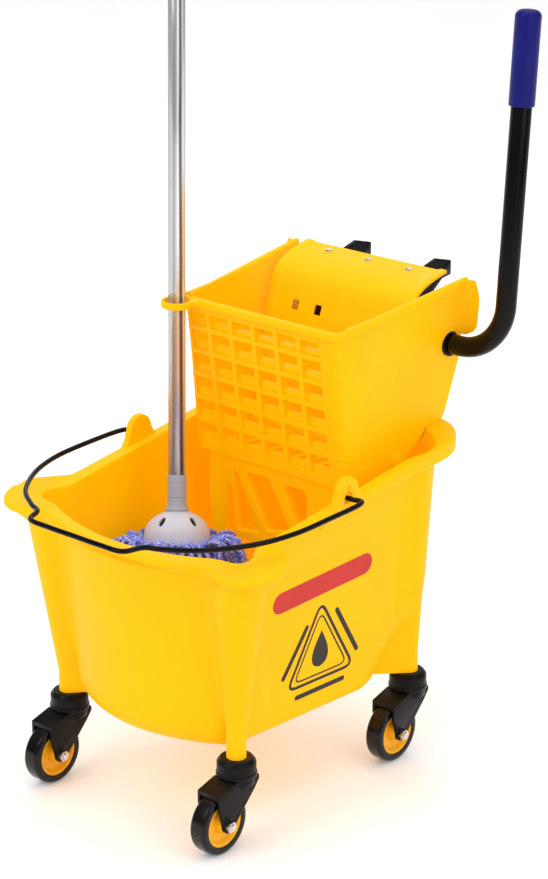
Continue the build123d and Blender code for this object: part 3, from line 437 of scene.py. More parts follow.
floor_mesh = bpy.data.meshes.new("floor")
FLOOR_REACH = 9                 # metres each way
floor_corners = [(x * FLOOR_REACH, y * FLOOR_REACH, 0) for x, y in ((-1, -1), (1, -1), (1, 1), (-1, 1))]
floor_mesh.from_pydata(floor_corners, [], [(0, 1, 2, 3)])
floor_mesh.materials.append(floor_paint)
placed("floor", floor_mesh)


# ------------------------------------------------------------------ shape helpers
class Shape:
    """Vertices in mm in the bucket's frame, and faces, gathered before they become one piece."""

    def __init__(self):
        self.points = []
        self.faces = []

    def add(self, points, faces):
        """Adds a mesh given as points and faces."""
        start = len(self.points)
        self.points.extend([tuple(map(float, p)) for p in points])
        self.faces.extend([tuple(start + i for i in face) for face in faces])
        return self

    def skin(self, rows, wrap=False):
        """Quads between rows of points that close round, capped at the ends or wrapped into a loop."""
        count = len(rows[0])
        faces = []
        links = len(rows) if wrap else len(rows) - 1
        for i in range(links):
            low, high = i * count, (i + 1) % len(rows) * count
            for j in range(count):
                k = (j + 1) % count
                faces.append((low + j, low + k, high + k, high + j))
        if not wrap:
            faces.append(tuple(range(count))[::-1])
            faces.append(tuple((len(rows) - 1) * count + j for j in range(count)))
        return self.add(np.vstack(rows), faces)

    def mesh(self, name):
        """Blender mesh in metres, merged, normals outward, smooth below 35 degrees."""
        data = bpy.data.meshes.new(name)
        moved = np.array(self.points) * MM + np.array(HOME)
        data.from_pydata(moved.tolist(), [], self.faces)
        tidy = bmesh.new()
        tidy.from_mesh(data)
        bmesh.ops.remove_doubles(tidy, verts=tidy.verts, dist=1e-6)
        bmesh.ops.dissolve_degenerate(tidy, edges=tidy.edges, dist=1e-7)
        bmesh.ops.recalc_face_normals(tidy, faces=tidy.faces)
        for face in tidy.faces:
            face.smooth = True
        for edge in tidy.edges:
            if len(edge.link_faces) == 2 and edge.calc_face_angle(0) > radians(35):
                edge.smooth = False
        tidy.to_mesh(data)
        tidy.free()
        return data

    def piece(self, name, material, body, slot, *replaced):
        """Finished object riding on a body, standing for the CAD nodes named."""
        data = self.mesh(name)
        data.materials.append(material)
        settle(placed(name, data), body, slot, *replaced)


def settle(made, body, slot, *replaced):
    """Rides on a body and replaces CAD nodes; the slot is not used."""
    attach(made, body)
    if replaced:
        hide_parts(*replaced)


def arc(centre, radius, start, end, steps):
    """Points on a circle arc, angles in degrees."""
    angles = np.radians(np.linspace(start, end, steps))
    return [(centre[0] + radius * cos(a), centre[1] + radius * sin(a)) for a in angles]


def rounded(points, radius, steps=5):
    """Closed outline with each corner rounded; radius is one number or one per corner."""
    radii = [radius] * len(points) if isinstance(radius, (int, float)) else radius
    outline = []
    for i, here in enumerate(points):
        before, after = np.array(points[i - 1], float), np.array(points[(i + 1) % len(points)], float)
        here = np.array(here, float)
        back, forth = before - here, after - here
        back_unit, forth_unit = back / np.linalg.norm(back), forth / np.linalg.norm(forth)
        half = np.arccos(np.clip(np.dot(back_unit, forth_unit), -1, 1)) / 2
        if radii[i] <= 0 or abs(half - pi / 2) < 0.01:
            outline.append(tuple(here))
            continue
        reach = min(radii[i] / tan(half), 0.49 * np.linalg.norm(back), 0.49 * np.linalg.norm(forth))
        for t in np.linspace(0, 1, steps):
            first, last = here + back_unit * reach, here + forth_unit * reach
            outline.append(tuple((1 - t) ** 2 * first + 2 * t * (1 - t) * here + t * t * last))
    return outline


def winding(outline):
    """Positive for an outline that runs anticlockwise."""
    x, y = np.array(outline).T
    return float(np.sum(x * np.roll(y, -1) - y * np.roll(x, -1)))


def slab(outline, holes, low, high, edge, lay):
    """Flat plate with rounded edges between two depths; lay turns (u, v, w) rows into points."""
    curve = bpy.data.curves.new("slab", "CURVE")
    curve.dimensions = "2D"
    curve.fill_mode = "BOTH"
    curve.extrude = (high - low) / 2 - edge
    curve.bevel_depth = edge
    curve.bevel_resolution = 2
    curve.offset = -edge
    for number, loop in enumerate([outline] + list(holes)):
        if (winding(loop) > 0) != (number == 0):
            loop = loop[::-1]
        spline = curve.splines.new("POLY")
        spline.points.add(len(loop) - 1)
        for point, (u, v) in zip(spline.points, loop):
            point.co = (u, v, 0, 1)
        spline.use_cyclic_u = True
    flat = applied(placed("slab", curve))
    uvw = np.array([v.co for v in flat.vertices], float)
    uvw[:, 2] += (low + high) / 2
    faces = [tuple(p.vertices) for p in flat.polygons]
    bpy.data.curves.remove(curve)
    bpy.data.meshes.remove(flat)
    return lay(uvw), faces


def lathe(profile, centre, axis, count=48):
    """Rows of points of a profile of (radius, height) turned about an axis."""
    axis = Vector(axis).normalized()
    side = axis.orthogonal().normalized()
    other = axis.cross(side)
    spokes = [side * cos(turn) + other * sin(turn) for turn in np.linspace(0, 2 * pi, count, endpoint=False)]
    rows = []
    for radius, height in profile:
        hub = Vector(centre) + axis * height
        rows.append(np.array([hub + spoke * max(radius, 1e-4) for spoke in spokes]))
    return rows


def tube_rows(path, radius, count=10):
    """Rings of points round a path of mm points, carried along without twist."""
    path = [Vector(p) for p in path]
    side = (path[1] - path[0]).orthogonal().normalized()
    rows = []
    for i, here in enumerate(path):
        ahead = (path[min(i + 1, len(path) - 1)] - path[max(i - 1, 0)]).normalized()
        side = (side - ahead * side.dot(ahead)).normalized()
        other = ahead.cross(side)
        width = radius[i] if isinstance(radius, (list, np.ndarray)) else radius
        turns = np.linspace(0, 2 * pi, count, endpoint=False)
        rows.append(np.array([here + (side * cos(t) + other * sin(t)) * width for t in turns]))
    return rows


def smooth_path(points, steps):
    """Catmull-Rom line through the points, with the same number of steps between each two."""
    points = [np.array(p, float) for p in points]
    count = len(points)
    line = []
    for i in range(count - 1):
        a, b, c, d = points[max(i - 1, 0)], points[i], points[i + 1], points[min(i + 2, count - 1)]
        square, cube = 2 * a - 5 * b + 4 * c - d, 3 * b - a - 3 * c + d
        for t in np.linspace(0, 1, steps, endpoint=False):
            line.append(0.5 * (2 * b + (c - a) * t + square * t**2 + cube * t**3))
    return line + [points[-1]]


def ease(value, low, high):
    """Smooth step from 0 at low to 1 at high."""
    t = np.clip((value - low) / (high - low), 0, 1)
    return t * t * (3 - 2 * t)


# ------------------------------------------------------------------ bucket
FLOOR_Z = 109.0                 # underside of the tub and foot of the legs
SECTION_TOP_Z = 420.0
WALL = 3.6
RIM_MID_Z = 381.5
RIM_SLOPE = 0.13
LEG_SPOT = (136.3, 157.8)
LEG_RADIUS = 12.0
BASE_ROUND = 14.0               # rounding of the bottom edge
BOW_ROUND = 30.0                # rounding under the bowed front
LOBE_SPOT = (169.0, -168.0)
LOBE_RADIUS = 41.0
FRONT_COLUMN = (151.5, -164.4, 42.5)
REAR_COLUMN = (136.3, 157.8, 27.0)
FRONT_FILL = 19                 # how much of the front columns is closed inside
HOLLOW_REACH = 22


def round_max(a, b, radius):
    """Larger of two distances, with the corner between them rounded."""
    outside = np.hypot(np.maximum(a + radius, 0), np.maximum(b + radius, 0))
    return np.minimum(np.maximum(a, b) + radius, 0) + outside - radius


def soft_min(a, b, reach):
    """Smaller of two distances, blended over a reach."""
    share = np.maximum(reach - np.abs(a - b), 0) / reach
    return np.minimum(a, b) - share * share * reach / 4


def bow_distance(x, y, half, corner_y, bow_y):
    """Distance in front of the bowed front, an arc through both corners and the middle."""
    rise = corner_y - bow_y
    radius = (half * half + rise * rise) / (2 * rise)
    return np.hypot(x, y - (bow_y + radius)) - radius


def tub_distance(x, y, z):
    """Signed distance outside the tub's own outline at a height, without the columns."""
    t = (z - FLOOR_Z) / (SECTION_TOP_Z - FLOOR_Z)
    front = 124 + 33 * t
    rear = 145 + 12 * t
    corner_y = -148 - 28 * t
    bow_y = -200 - 14 * t
    rear_y = 170 + 44 * t
    half = front + (rear - front) * (y - corner_y) / (rear_y - corner_y)
    side = np.abs(x) - half
    back = round_max(side, y - rear_y, 27 + 31 * t)
    return round_max(back, bow_distance(x, y, front, corner_y, bow_y), 16 + 6 * t)


def column_distance(x, y, z, top):
    """Signed distance outside a tapering leg column."""
    t = np.clip((z - FLOOR_Z - 26) / (SECTION_TOP_Z - FLOOR_Z - 26), 0, 1)
    leg_y = LEG_SPOT[1] * (1 if top[1] > 0 else -1)
    centre_x = LEG_SPOT[0] + (top[0] - LEG_SPOT[0]) * t
    centre_y = leg_y + (top[1] - leg_y) * t
    return np.hypot(np.abs(x) - centre_x, y - centre_y) - (LEG_RADIUS + (top[2] - LEG_RADIUS) * t)


def outer_distance(x, y, z):
    """Signed distance outside the tub with its columns and rounded bottom edge."""
    sunk = np.clip(1 - (z - FLOOR_Z) / BASE_ROUND, 0, 1)
    body = tub_distance(x, y, z) + BASE_ROUND * (1 - np.sqrt(np.maximum(1 - sunk * sunk, 0)))
    low = np.clip(1 - (z - FLOOR_Z) / BOW_ROUND, 0, 1)
    bowed = tub_distance(x, y, z) + BOW_ROUND * (1 - np.sqrt(np.maximum(1 - low * low, 0)))
    body = body + (1 - ease(y, -195, -120)) * (bowed - body)
    above_foot = ease(z, 122, 190)
    body = soft_min(body, column_distance(x, y, z, FRONT_COLUMN), 6 + 7 * above_foot)
    return soft_min(body, column_distance(x, y, z, REAR_COLUMN), 6 + 10 * above_foot)


def inner_distance(x, y, z):
    """Signed distance outside the hollow."""
    closed_off = 60 * (1 - ease(z, 150, 215))
    front = column_distance(x, y, z, FRONT_COLUMN) + FRONT_FILL + closed_off
    body = soft_min(tub_distance(x, y, z), front, HOLLOW_REACH)
    return soft_min(body, column_distance(x, y, z, REAR_COLUMN) + closed_off, HOLLOW_REACH) + WALL


def rim_distance(x, y, z):
    """Signed distance outside the rim seen from above, with a round ledge over each front leg."""
    side = np.abs(x) - 170.0
    back = round_max(side, y - 238.5, 58.0)
    body = round_max(back, bow_distance(x, y, 170.0, -187.0, -222.0), 14.0)
    lobe = np.hypot(np.abs(x) - LOBE_SPOT[0], y - LOBE_SPOT[1]) - LOBE_RADIUS
    return soft_min(body, lobe, 22)


def bucket_angles():
    """Directions round the bucket, close together across the legs."""
    turns = list(np.linspace(-pi, pi, 264, endpoint=False))
    for x in (-1, 1):
        for y in (-1, 1):
            leg = atan2(y * LEG_SPOT[1], x * LEG_SPOT[0])
            turns += list(leg + np.radians(np.linspace(-9, 9, 44)))
    turns = np.sort((np.array(turns) + pi) % (2 * pi) - pi)
    kept = [turns[0]]
    for turn in turns[1:]:
        if turn - kept[-1] > 0.0025:
            kept.append(turn)
    return np.array(kept)


ANGLES = bucket_angles()
RAY_X, RAY_Y = np.cos(ANGLES), np.sin(ANGLES)
RAY_STEP = 1.5


def reach_out(distance, z):
    """How far each ray runs before it leaves the shape for good at height z (one per ray)."""
    steps = np.arange(60.0, 330.0, RAY_STEP)
    z = np.broadcast_to(z, ANGLES.shape)
    x = steps[None, :] * RAY_X[:, None]
    y = steps[None, :] * RAY_Y[:, None]
    values = distance(x, y, z[:, None])
    inside = values < 0
    last = inside.shape[1] - 1 - np.argmax(inside[:, ::-1], axis=1)
    last = np.clip(last, 0, len(steps) - 2)
    rows = np.arange(len(ANGLES))
    a, b = values[rows, last], values[rows, last + 1]
    return steps[last] + RAY_STEP * np.clip(a / (a - b), 0, 1)


def ring(radius, z):
    """One row of the bucket's grid."""
    radius = np.broadcast_to(radius, ANGLES.shape)
    z = np.broadcast_to(z, ANGLES.shape)
    return np.stack([radius * RAY_X, radius * RAY_Y, z], 1)


def rim_height(distance):
    """Height of the tilted rim where each ray meets the outline there."""
    z = np.full(ANGLES.shape, RIM_MID_Z)
    for _ in range(4):
        z = RIM_MID_Z + RIM_SLOPE * reach_out(distance, z) * RAY_Y
    return z


PANEL_DEPTH = 2.2
RIM_ROUND = 5.0                 # rounding of the rim's outer top edge
EDGE_ROUND = 3.0                # rounding of the rim's inner edge
FOOT_ROUND = 20.0               # rounding between the inner wall and the floor
HUMP_HEIGHT = 26                # two humps in the floor under the wringer


def label_recess(radius, z, top_z):
    """Shallow panel pressed into both side walls between the columns."""
    x, y = radius * RAY_X, radius * RAY_Y
    share = (z - FLOOR_Z) / (top_z - FLOOR_Z)
    front_edge = -91 - 50 * share
    along = ease(y, front_edge - 2.5, front_edge + 2.5) * (1 - ease(y, 122, 128))
    up = ease(z, 119, 124) * (1 - ease(z, top_z - 52, top_z - 44))
    side = ease(np.abs(x), 118, 124)
    return PANEL_DEPTH * along * up * side / np.maximum(np.abs(RAY_X), 0.5)


def outer_rows(top_z, wall_top, blend):
    """Rows up the outside of the tub, from the middle of its floor to the foot of the rim."""
    rows = [ring(r, FLOOR_Z) for r in (8.0, 60.0, 100.0)]
    shares = list(np.linspace(0, 0.06, 7)) + list(np.linspace(0.085, 0.3, 9)) + list(np.linspace(0.34, 1, 20))
    for share in shares:
        z = FLOOR_Z + share * (wall_top - blend - FLOOR_Z)
        radius = reach_out(outer_distance, z)
        rows.append(ring(radius - label_recess(radius, z, top_z), z))
    return rows


def rim_rows(top_z, wall_top, lip_depth, soft):
    """Rows round the turned-down rim; its underside runs softly into the wall at the front."""
    wall = reach_out(outer_distance, wall_top)
    rim_z = rim_height(rim_distance)
    rim = np.maximum(reach_out(rim_distance, rim_z), wall + 3.2)
    under = np.maximum(rim - 4.0, wall + 0.4)
    flat_z = np.minimum(rim_z, top_z + RIM_SLOPE * (rim - wall) * RAY_Y)
    inward = soft * np.minimum(rim - wall, 9.0)
    rows = [
        ring(wall + 0.6 * np.minimum(1, rim - wall), wall_top - soft * (lip_depth + 10)),
        ring(under - 0.3 - inward, flat_z - 3.6 - soft * (lip_depth + 4)),
        ring(under - 0.8 * inward, flat_z - 4.4 - soft * (lip_depth + 0.5)),
        ring(under - 0.6 * inward, flat_z - lip_depth + 0.8 - soft * 4),
        ring(under + 0.5 - 0.4 * inward, flat_z - lip_depth - soft * 2.4),
    ]
    rows += [ring(rim - back, flat_z - lip_depth + up) for back, up in ((1.2, 0), (0.2, 1.0), (0, 2.5))]
    for turn in np.radians(np.linspace(0, 90, 7)):
        rows.append(ring(rim - RIM_ROUND * (1 - cos(turn)), flat_z - RIM_ROUND * (1 - sin(turn))))
    return rows


def hollow_rows(top_z):
    """Rows down the inside of the tub and over the two humps of its floor."""
    hollow = reach_out(inner_distance, top_z)
    inner_z = RIM_MID_Z + RIM_SLOPE * hollow * RAY_Y
    rows = []
    for turn in np.radians(np.linspace(90, 0, 5)):
        rows.append(ring(hollow + EDGE_ROUND * (1 - cos(turn)), inner_z - EDGE_ROUND * (1 - sin(turn))))
    base_z = FLOOR_Z + WALL
    for share in np.linspace(0.97, 0.12, 22):
        z = base_z + share * (inner_z - EDGE_ROUND - base_z)
        rows.append(ring(reach_out(inner_distance, z), z))
    foot = reach_out(inner_distance, base_z + FOOT_ROUND)
    for turn in np.radians(np.linspace(0, 90, 6)):
        rows.append(ring(foot - FOOT_ROUND * (1 - cos(turn)), base_z + FOOT_ROUND * (1 - sin(turn))))
    for share in np.linspace(0.92, 0.06, 16):
        radius = (foot - FOOT_ROUND) * share
        x, y = radius * RAY_X, radius * RAY_Y
        humps = [np.clip(1 - ((x - at) / 40) ** 2 - ((y - 95) / 62) ** 2, 0, 1) ** 0.7 for at in (-52, 52)]
        rows.append(ring(radius, base_z + HUMP_HEIGHT * sum(humps)))
    return rows


def make_bucket():
    """Tub with columns, turned-down rim and hollow, as one closed grid of rows."""
    top_z = rim_height(outer_distance)
    lip_depth = 8.5 + 11.5 * ease(np.broadcast_to(top_z, ANGLES.shape), 370, 412)
    wall_top = top_z - 3.4
    soft = 1 - ease(RAY_Y, 0.02, 0.3)
    shape = Shape()
    shape.skin(
        outer_rows(top_z, wall_top, soft * (lip_depth + 11))
        + rim_rows(top_z, wall_top, lip_depth, soft) + hollow_rows(top_z)
    )
    return shape


def ear_outline():
    """Upright ear: a round head over a base that spreads into the rim."""
    right = smooth_path([(50, -6), (38, -2), (28, 4), (22, 11), (19, 19)], 5)
    head = arc((0, 19), 18, 0, 180, 17)
    left = [(-x, y) for x, y in right[::-1]]
    return [tuple(p) for p in right] + head + [tuple(p) for p in left]


EAR_OUTER_X = 169.5
EAR_THICKNESS = 9.0
EAR_SKIN = 3.2                  # closed inner face of the ear
PIVOT_Z = 388.0
EAR_BASE_Z = RIM_MID_Z - 5
PIVOT_UP = PIVOT_Z - EAR_BASE_Z
EAR_OPENING = rounded(
    [(-9, PIVOT_UP - 5), (9, PIVOT_UP - 5), (6, PIVOT_UP + 4), (1.2, PIVOT_UP + 8), (1, PIVOT_UP + 15),
     (-1, PIVOT_UP + 15), (-1.2, PIVOT_UP + 8), (-6, PIVOT_UP + 4)], 1.5,
)

EAR_LAYERS = (
    ([EAR_OPENING], 0, EAR_THICKNESS - EAR_SKIN),
    ([], EAR_THICKNESS - EAR_SKIN - 0.4, EAR_THICKNESS),
)


def on_side(side):
    """Lays an ear on one side rim, with its base sheared to the rim's slope."""
    def lay(p):
        tilt = RIM_SLOPE * p[:, 0] * (1 - ease(p[:, 1], 0, 22))
        return np.stack([side * (EAR_OUTER_X - p[:, 2]), p[:, 0], EAR_BASE_Z + p[:, 1] + tilt], 1)
    return lay


tub = make_bucket()
for side in (-1, 1):
    for openings, low, high in EAR_LAYERS:
        tub.add(*slab(ear_outline(), openings, low, high, 1.3, on_side(side)))
tub.piece("bucket_shell", yellow, "bucket", "bucket_yellow", "bucket_tub")


# ------------------------------------------------------------------ finished copies of plain pieces
record = frame["record"]
SLOT_OF = {part["node"]: part["material_slot"] for part in record["subparts"]}
BODY_OF = {node: body for body, members in record["behaviour"]["bodies"].items() for node in members}


def add_bevel(holder, width, angle):
    """Rounds an object's edges by a width in mm where its faces meet at more than an angle."""
    round_off = holder.modifiers.new("round_off", "BEVEL")
    round_off.width = width * MM
    round_off.segments = 2
    round_off.limit_method = "ANGLE"
    round_off.angle_limit = radians(angle)
    return round_off


def bevelled(data, width, angle=40):
    """Mesh with rounded edges, and flat faces kept flat in shading."""
    holder = placed("bevel", data)
    add_bevel(holder, width, angle).harden_normals = True
    return applied(holder)


def soften(node, material, width):
    """Finished copy of a CAD piece with rounded edges."""
    source = nodes[node]
    data = source.data.copy()
    data.transform(source.matrix_world)
    tidy = bmesh.new()
    tidy.from_mesh(data)
    bmesh.ops.remove_doubles(tidy, verts=tidy.verts, dist=2e-6)
    bmesh.ops.dissolve_limit(tidy, angle_limit=radians(1), verts=tidy.verts, edges=tidy.edges)
    bmesh.ops.recalc_face_normals(tidy, faces=tidy.faces)
    for face in tidy.faces:
        face.smooth = True
    tidy.to_mesh(data)
    tidy.free()
    data = bevelled(data, width, 30) if width else data
    data.materials.clear()
    data.materials.append(material)
    settle(placed(node + "_finished", data), BODY_OF[node], SLOT_OF[node], node)


def sheet(across, along, keep, lay, low, high):
    """Grid plate with missing cells: two layers and a wall wherever a kept cell ends."""
    columns, rows = len(across), len(along)
    points = []
    for w in (low, high):
        for v in along:
            points += [lay(u, v, w) for u in across]
    layer = columns * rows
    faces = []
    kept = {(i, j) for i in range(columns - 1) for j in range(rows - 1) if keep(i, j)}
    for i, j in kept:
        a, b = j * columns + i, j * columns + i + 1
        d, c = a + columns, b + columns
        faces += [(a, d, c, b), (a + layer, b + layer, c + layer, d + layer)]
        for (di, dj), (p, q) in {(0, -1): (a, b), (1, 0): (b, c), (0, 1): (c, d), (-1, 0): (d, a)}.items():
            if (i + di, j + dj) not in kept:
                faces.append((p, q, q + layer, p + layer))
    return points, faces


# ------------------------------------------------------------------ wringer
LOW_Z = 367.0
TOP_FRONT = (38.5, 563.6)
TOP_REAR = (259.0, 587.0)
LOW_FRONT_Y = 57.0
HALF_LOW, HALF_FRONT, HALF_REAR = 117.0, 119.5, 134.0
WRINGER_WALL = 4.0
CORNER = 14.0
RING_CORNER = 4.6               # tighter corner, where the mop ring stands
GRILLE_LEFT, GRILLE_RIGHT = -117.0, 99.0
PITCH_ACROSS, PITCH_UP = 35.6, 30.2
REAR_WALL_Y = 203.5
# lower edge of the side walls, hooked over the bucket's rim, as (y, z)
HANG = [
    (57, 367), (139, 367), (179, 381), (199.5, 402), (203.5, 408.6), (238.5, 413.1), (251, 457), (259, 485),
]


def top_height(y):
    """Height of the wringer's top edge."""
    return TOP_FRONT[1] + (TOP_REAR[1] - TOP_FRONT[1]) * (y - TOP_FRONT[0]) / (TOP_REAR[0] - TOP_FRONT[0])


def front_depth(z):
    """Y of the wringer's front face at a height."""
    return LOW_FRONT_Y + (TOP_FRONT[0] - LOW_FRONT_Y) * (z - LOW_Z) / (TOP_FRONT[1] - LOW_Z)


def half_width(y, z):
    """Half width of the wringer at a depth and height."""
    top = HALF_FRONT + (HALF_REAR - HALF_FRONT) * (y - TOP_FRONT[0]) / (TOP_REAR[0] - TOP_FRONT[0])
    return HALF_LOW + (top - HALF_LOW) * (z - LOW_Z) / (top_height(y) - LOW_Z)


def wall_path(share, side, inset, front_end):
    """Line round one side wall and its front corner, rear to front, at a share of the height."""
    line = []
    round_corner = CORNER if side > 0 else RING_CORNER
    corner = round_corner - inset
    corner_start = LOW_FRONT_Y + CORNER
    for y in list(np.linspace(TOP_REAR[0], 200, 14)) + list(np.linspace(190, corner_start, 9)):
        low = np.interp(y, *zip(*HANG))
        z = low + share * (top_height(y) - low)
        if y < corner_start + 1:
            y = front_depth(z) + round_corner
        line.append((side * (half_width(y, z) - inset), y, z))
    z = LOW_Z + share * (TOP_FRONT[1] - LOW_Z)
    y0 = front_depth(z)
    x0 = half_width(y0, z)
    for turn in np.radians(np.linspace(15, 90, 6)):
        across = x0 - round_corner + corner * cos(turn)
        line.append((side * across, y0 + round_corner - corner * sin(turn), z))
    line.append((front_end, y0 + inset, z))
    return np.array(line)


def upright(p):
    """Lays a plate facing the front: u across, v up."""
    return np.stack([p[:, 0], p[:, 2], p[:, 1]], 1)


def sideways(p):
    """Lays a plate facing the side: u towards the rear, v up."""
    return np.stack([p[:, 2], p[:, 0], p[:, 1]], 1)


wringer = Shape()
for side, front_end in ((1, GRILLE_RIGHT), (-1, GRILLE_LEFT)):
    rows = []
    for share in np.linspace(0, 1, 16):
        outer = wall_path(share, side, 0, front_end)
        inner = wall_path(share, side, WRINGER_WALL, front_end)
        rows.append(np.vstack([outer, inner[::-1]]))
    wringer.skin(rows)

rim_line = np.vstack([wall_path(1.0, 1, 0, 60), wall_path(1.0, -1, 0, -60)[::-1]])
BEAD_IN, BEAD_OUT = -WRINGER_WALL - 0.4, 4.2
BEAD = rounded([(BEAD_IN, -9), (BEAD_OUT, -9), (BEAD_OUT, 1.6), (BEAD_IN, 1.6)], [1, 1.6, 4, 4])
bead_rows = []
for i, here in enumerate(rim_line):
    ahead = rim_line[min(i + 1, len(rim_line) - 1)] - rim_line[max(i - 1, 0)]
    outward = np.cross(ahead, (0, 0, 1))
    outward /= -np.linalg.norm(outward)
    bead_rows.append(np.array([here + outward * u + np.array((0, 0, v)) for u, v in BEAD]))
wringer.skin(bead_rows)

# rear wings, which curl outwards behind the side walls
WING_Y = 236
WING_TURNS = list(np.linspace(0, pi / 2, 9))
for side in (-1, 1):
    rows = []
    for z in np.linspace(517, 586, 15):
        low_round = sqrt(1 - (1 - min(1, (z - 516) / 16)) ** 2)
        reach = 20.5 * low_round - 11 * ease(z, 560, 600)
        x0 = half_width(WING_Y, z)
        curve = [(x0 + reach * (1 - cos(t)), WING_Y + 21.5 * sin(t)) for t in WING_TURNS]
        curve.append((x0 + reach + 2, WING_Y + 21.6))
        turns = WING_TURNS + [pi / 2]
        back = [(x + 0.4 - 3.6 * cos(t), y + 3.4 * sin(t)) for (x, y), t in zip(curve, turns)]
        rows.append(np.array([(side * x, min(y, 261), z) for x, y in curve + back[::-1]]))
    wringer.skin(rows)
wringer.add(
    *slab(
        rounded([(-112, 368), (112, 368), (122, 487), (-122, 487)], 4), [],
        REAR_WALL_Y, REAR_WALL_Y + WRINGER_WALL, 0.8, upright,
    )
)
wringer_walls = bevelled(wringer.mesh("wringer_walls"), 0.7)

slope = hypot(TOP_FRONT[0] - LOW_FRONT_Y, TOP_FRONT[1] - LOW_Z)
lean = (TOP_FRONT[0] - LOW_FRONT_Y) / slope, (TOP_FRONT[1] - LOW_Z) / slope


def on_front(u, v, w):
    """Point of the sloping front: u across, v up the slope, w inwards."""
    lean_left = -0.035 * v * (1 if -116 < u < 98 else 0)
    return u + lean_left, LOW_FRONT_Y + lean[0] * v + lean[1] * w, LOW_Z + lean[1] * v - lean[0] * w


def grille_lines(start, pitch, opening, count, low, high):
    """Grid lines at the edges of a row of windows."""
    lines = [low]
    for i in range(count):
        middle_line = start + i * pitch
        lines += [middle_line - opening / 2, middle_line + opening / 2]
    return lines + [high]


def between_windows(i, j):
    """True for the cells of a grille that are bars, not windows."""
    return not (i % 2 and j % 2)


def on_sill(u, v, w):
    """Point of the sill, whose slots slant."""
    return u + (v - 100) * 0.25 if 70 < v < 130 else u, v, w


front_grille = Shape()
for first_x, width, first_v, height, foot_v, extra, top_v, low, high in (
    (-98.0, 29.5, 24.0, 24.6, 0, [163.0, 181.0], slope - 4, 0.0, 4.2),
    (-99.5, 26.0, 27.6, 16.5, 5, [168.0, 181.0], slope - 6, 4.0, 11.0),
):
    columns = grille_lines(first_x, PITCH_ACROSS, width, 6, GRILLE_LEFT - 0.5, GRILLE_RIGHT + 0.5)
    rows_up = grille_lines(first_v, PITCH_UP, height, 5, foot_v, top_v)
    rows_up = rows_up[:-1] + extra + rows_up[-1:]
    front_grille.add(*sheet(columns, rows_up, between_windows, on_front, low, high))
SILL_X = [-113] + [x for c in range(-90, 91, 20) for x in (c - 4.5, c + 4.5)] + [113]
front_grille.add(
    *sheet(SILL_X, [60, 74, 126, 134], lambda i, j: not (i % 2 and j == 1), on_sill, LOW_Z, LOW_Z + 4)
)
grille_mesh = bevelled(front_grille.mesh("front_grille"), 0.8)


def geometry_group(name, inputs):
    """Geometry group with its given inputs and a material: group, identifiers, input node and painter."""
    group = bpy.data.node_groups.new(name, "GeometryNodeTree")
    sockets = {}
    for label, kind in [("Geometry", "Geometry")] + inputs + [("Material", "Material")]:
        sockets[label] = group.interface.new_socket(
            label, in_out="INPUT", socket_type="NodeSocket" + kind
        ).identifier
    group.interface.new_socket("Geometry", in_out="OUTPUT", socket_type="NodeSocketGeometry")
    given, result = group.nodes.new("NodeGroupInput"), group.nodes.new("NodeGroupOutput")
    paint = group.nodes.new("GeometryNodeSetMaterial")
    group.links.new(given.outputs["Material"], paint.inputs["Material"])
    group.links.new(paint.outputs["Geometry"], result.inputs["Geometry"])
    return group, sockets, given, paint


def make_repeat_group():
    """Geometry group: copies of a solid bar set at even steps along a line."""
    inputs = [("Count", "Int"), ("Step", "Vector")]
    group, sockets, given, paint = geometry_group("repeat_on_line", inputs)
    line = group.nodes.new("GeometryNodeMeshLine")
    place = group.nodes.new("GeometryNodeInstanceOnPoints")
    real = group.nodes.new("GeometryNodeRealizeInstances")
    group.links.new(given.outputs["Count"], line.inputs["Count"])
    group.links.new(given.outputs["Step"], line.inputs["Offset"])
    group.links.new(line.outputs["Mesh"], place.inputs["Points"])
    group.links.new(given.outputs["Geometry"], place.inputs["Instance"])
    group.links.new(place.outputs["Instances"], real.inputs["Geometry"])
    group.links.new(real.outputs["Geometry"], paint.inputs["Geometry"])
    return group, sockets


def run_group(data, made, **values):
    """Mesh that a geometry group makes from a mesh, with its inputs set by identifier."""
    group, sockets = made
    holder = placed("holder", data)
    step = holder.modifiers.new("step", "NODES")
    step.node_group = group
    for label, value in values.items():
        step[sockets[label.replace("_", " ")]] = value
    holder.update_tag()
    return applied(holder)


# fine ridges round the front corner on the lever side
ridge = Shape()
RIDGE_Z = LOW_Z + 38
ridge_y = front_depth(RIDGE_Z)
turn_x = HALF_LOW + 1.4 - CORNER
ridge_line = [(x, ridge_y - 0.1, RIDGE_Z) for x in (100, 102, turn_x)]
ridge_line += [
    (turn_x + CORNER * sin(t), ridge_y + CORNER * (1 - cos(t)), RIDGE_Z) for t in np.radians((20, 40, 58))
]
ridge.skin(tube_rows(ridge_line, [0.2, 1.1, 1.2, 1.2, 1.0, 0.2], 8))
ridges = run_group(
    ridge.mesh("ridge"), make_repeat_group(),
    Count=6, Step=(0.0003, -0.0023305, 0.0246), Material=yellow,
)


def joined(name, parts, material, body, slot, *replaced):
    """One finished object from several meshes."""
    made = placed(name, bpy.data.meshes.new(name))
    merged = bmesh.new()
    for part in parts:
        merged.from_mesh(part)
    merged.to_mesh(made.data)
    merged.free()
    made.data.materials.clear()
    made.data.materials.append(material)
    settle(made, body, slot, *replaced)


joined(
    "wringer_box", [wringer_walls, grille_mesh, ridges], yellow, "wringer", "bucket_yellow", "wringer_body"
)

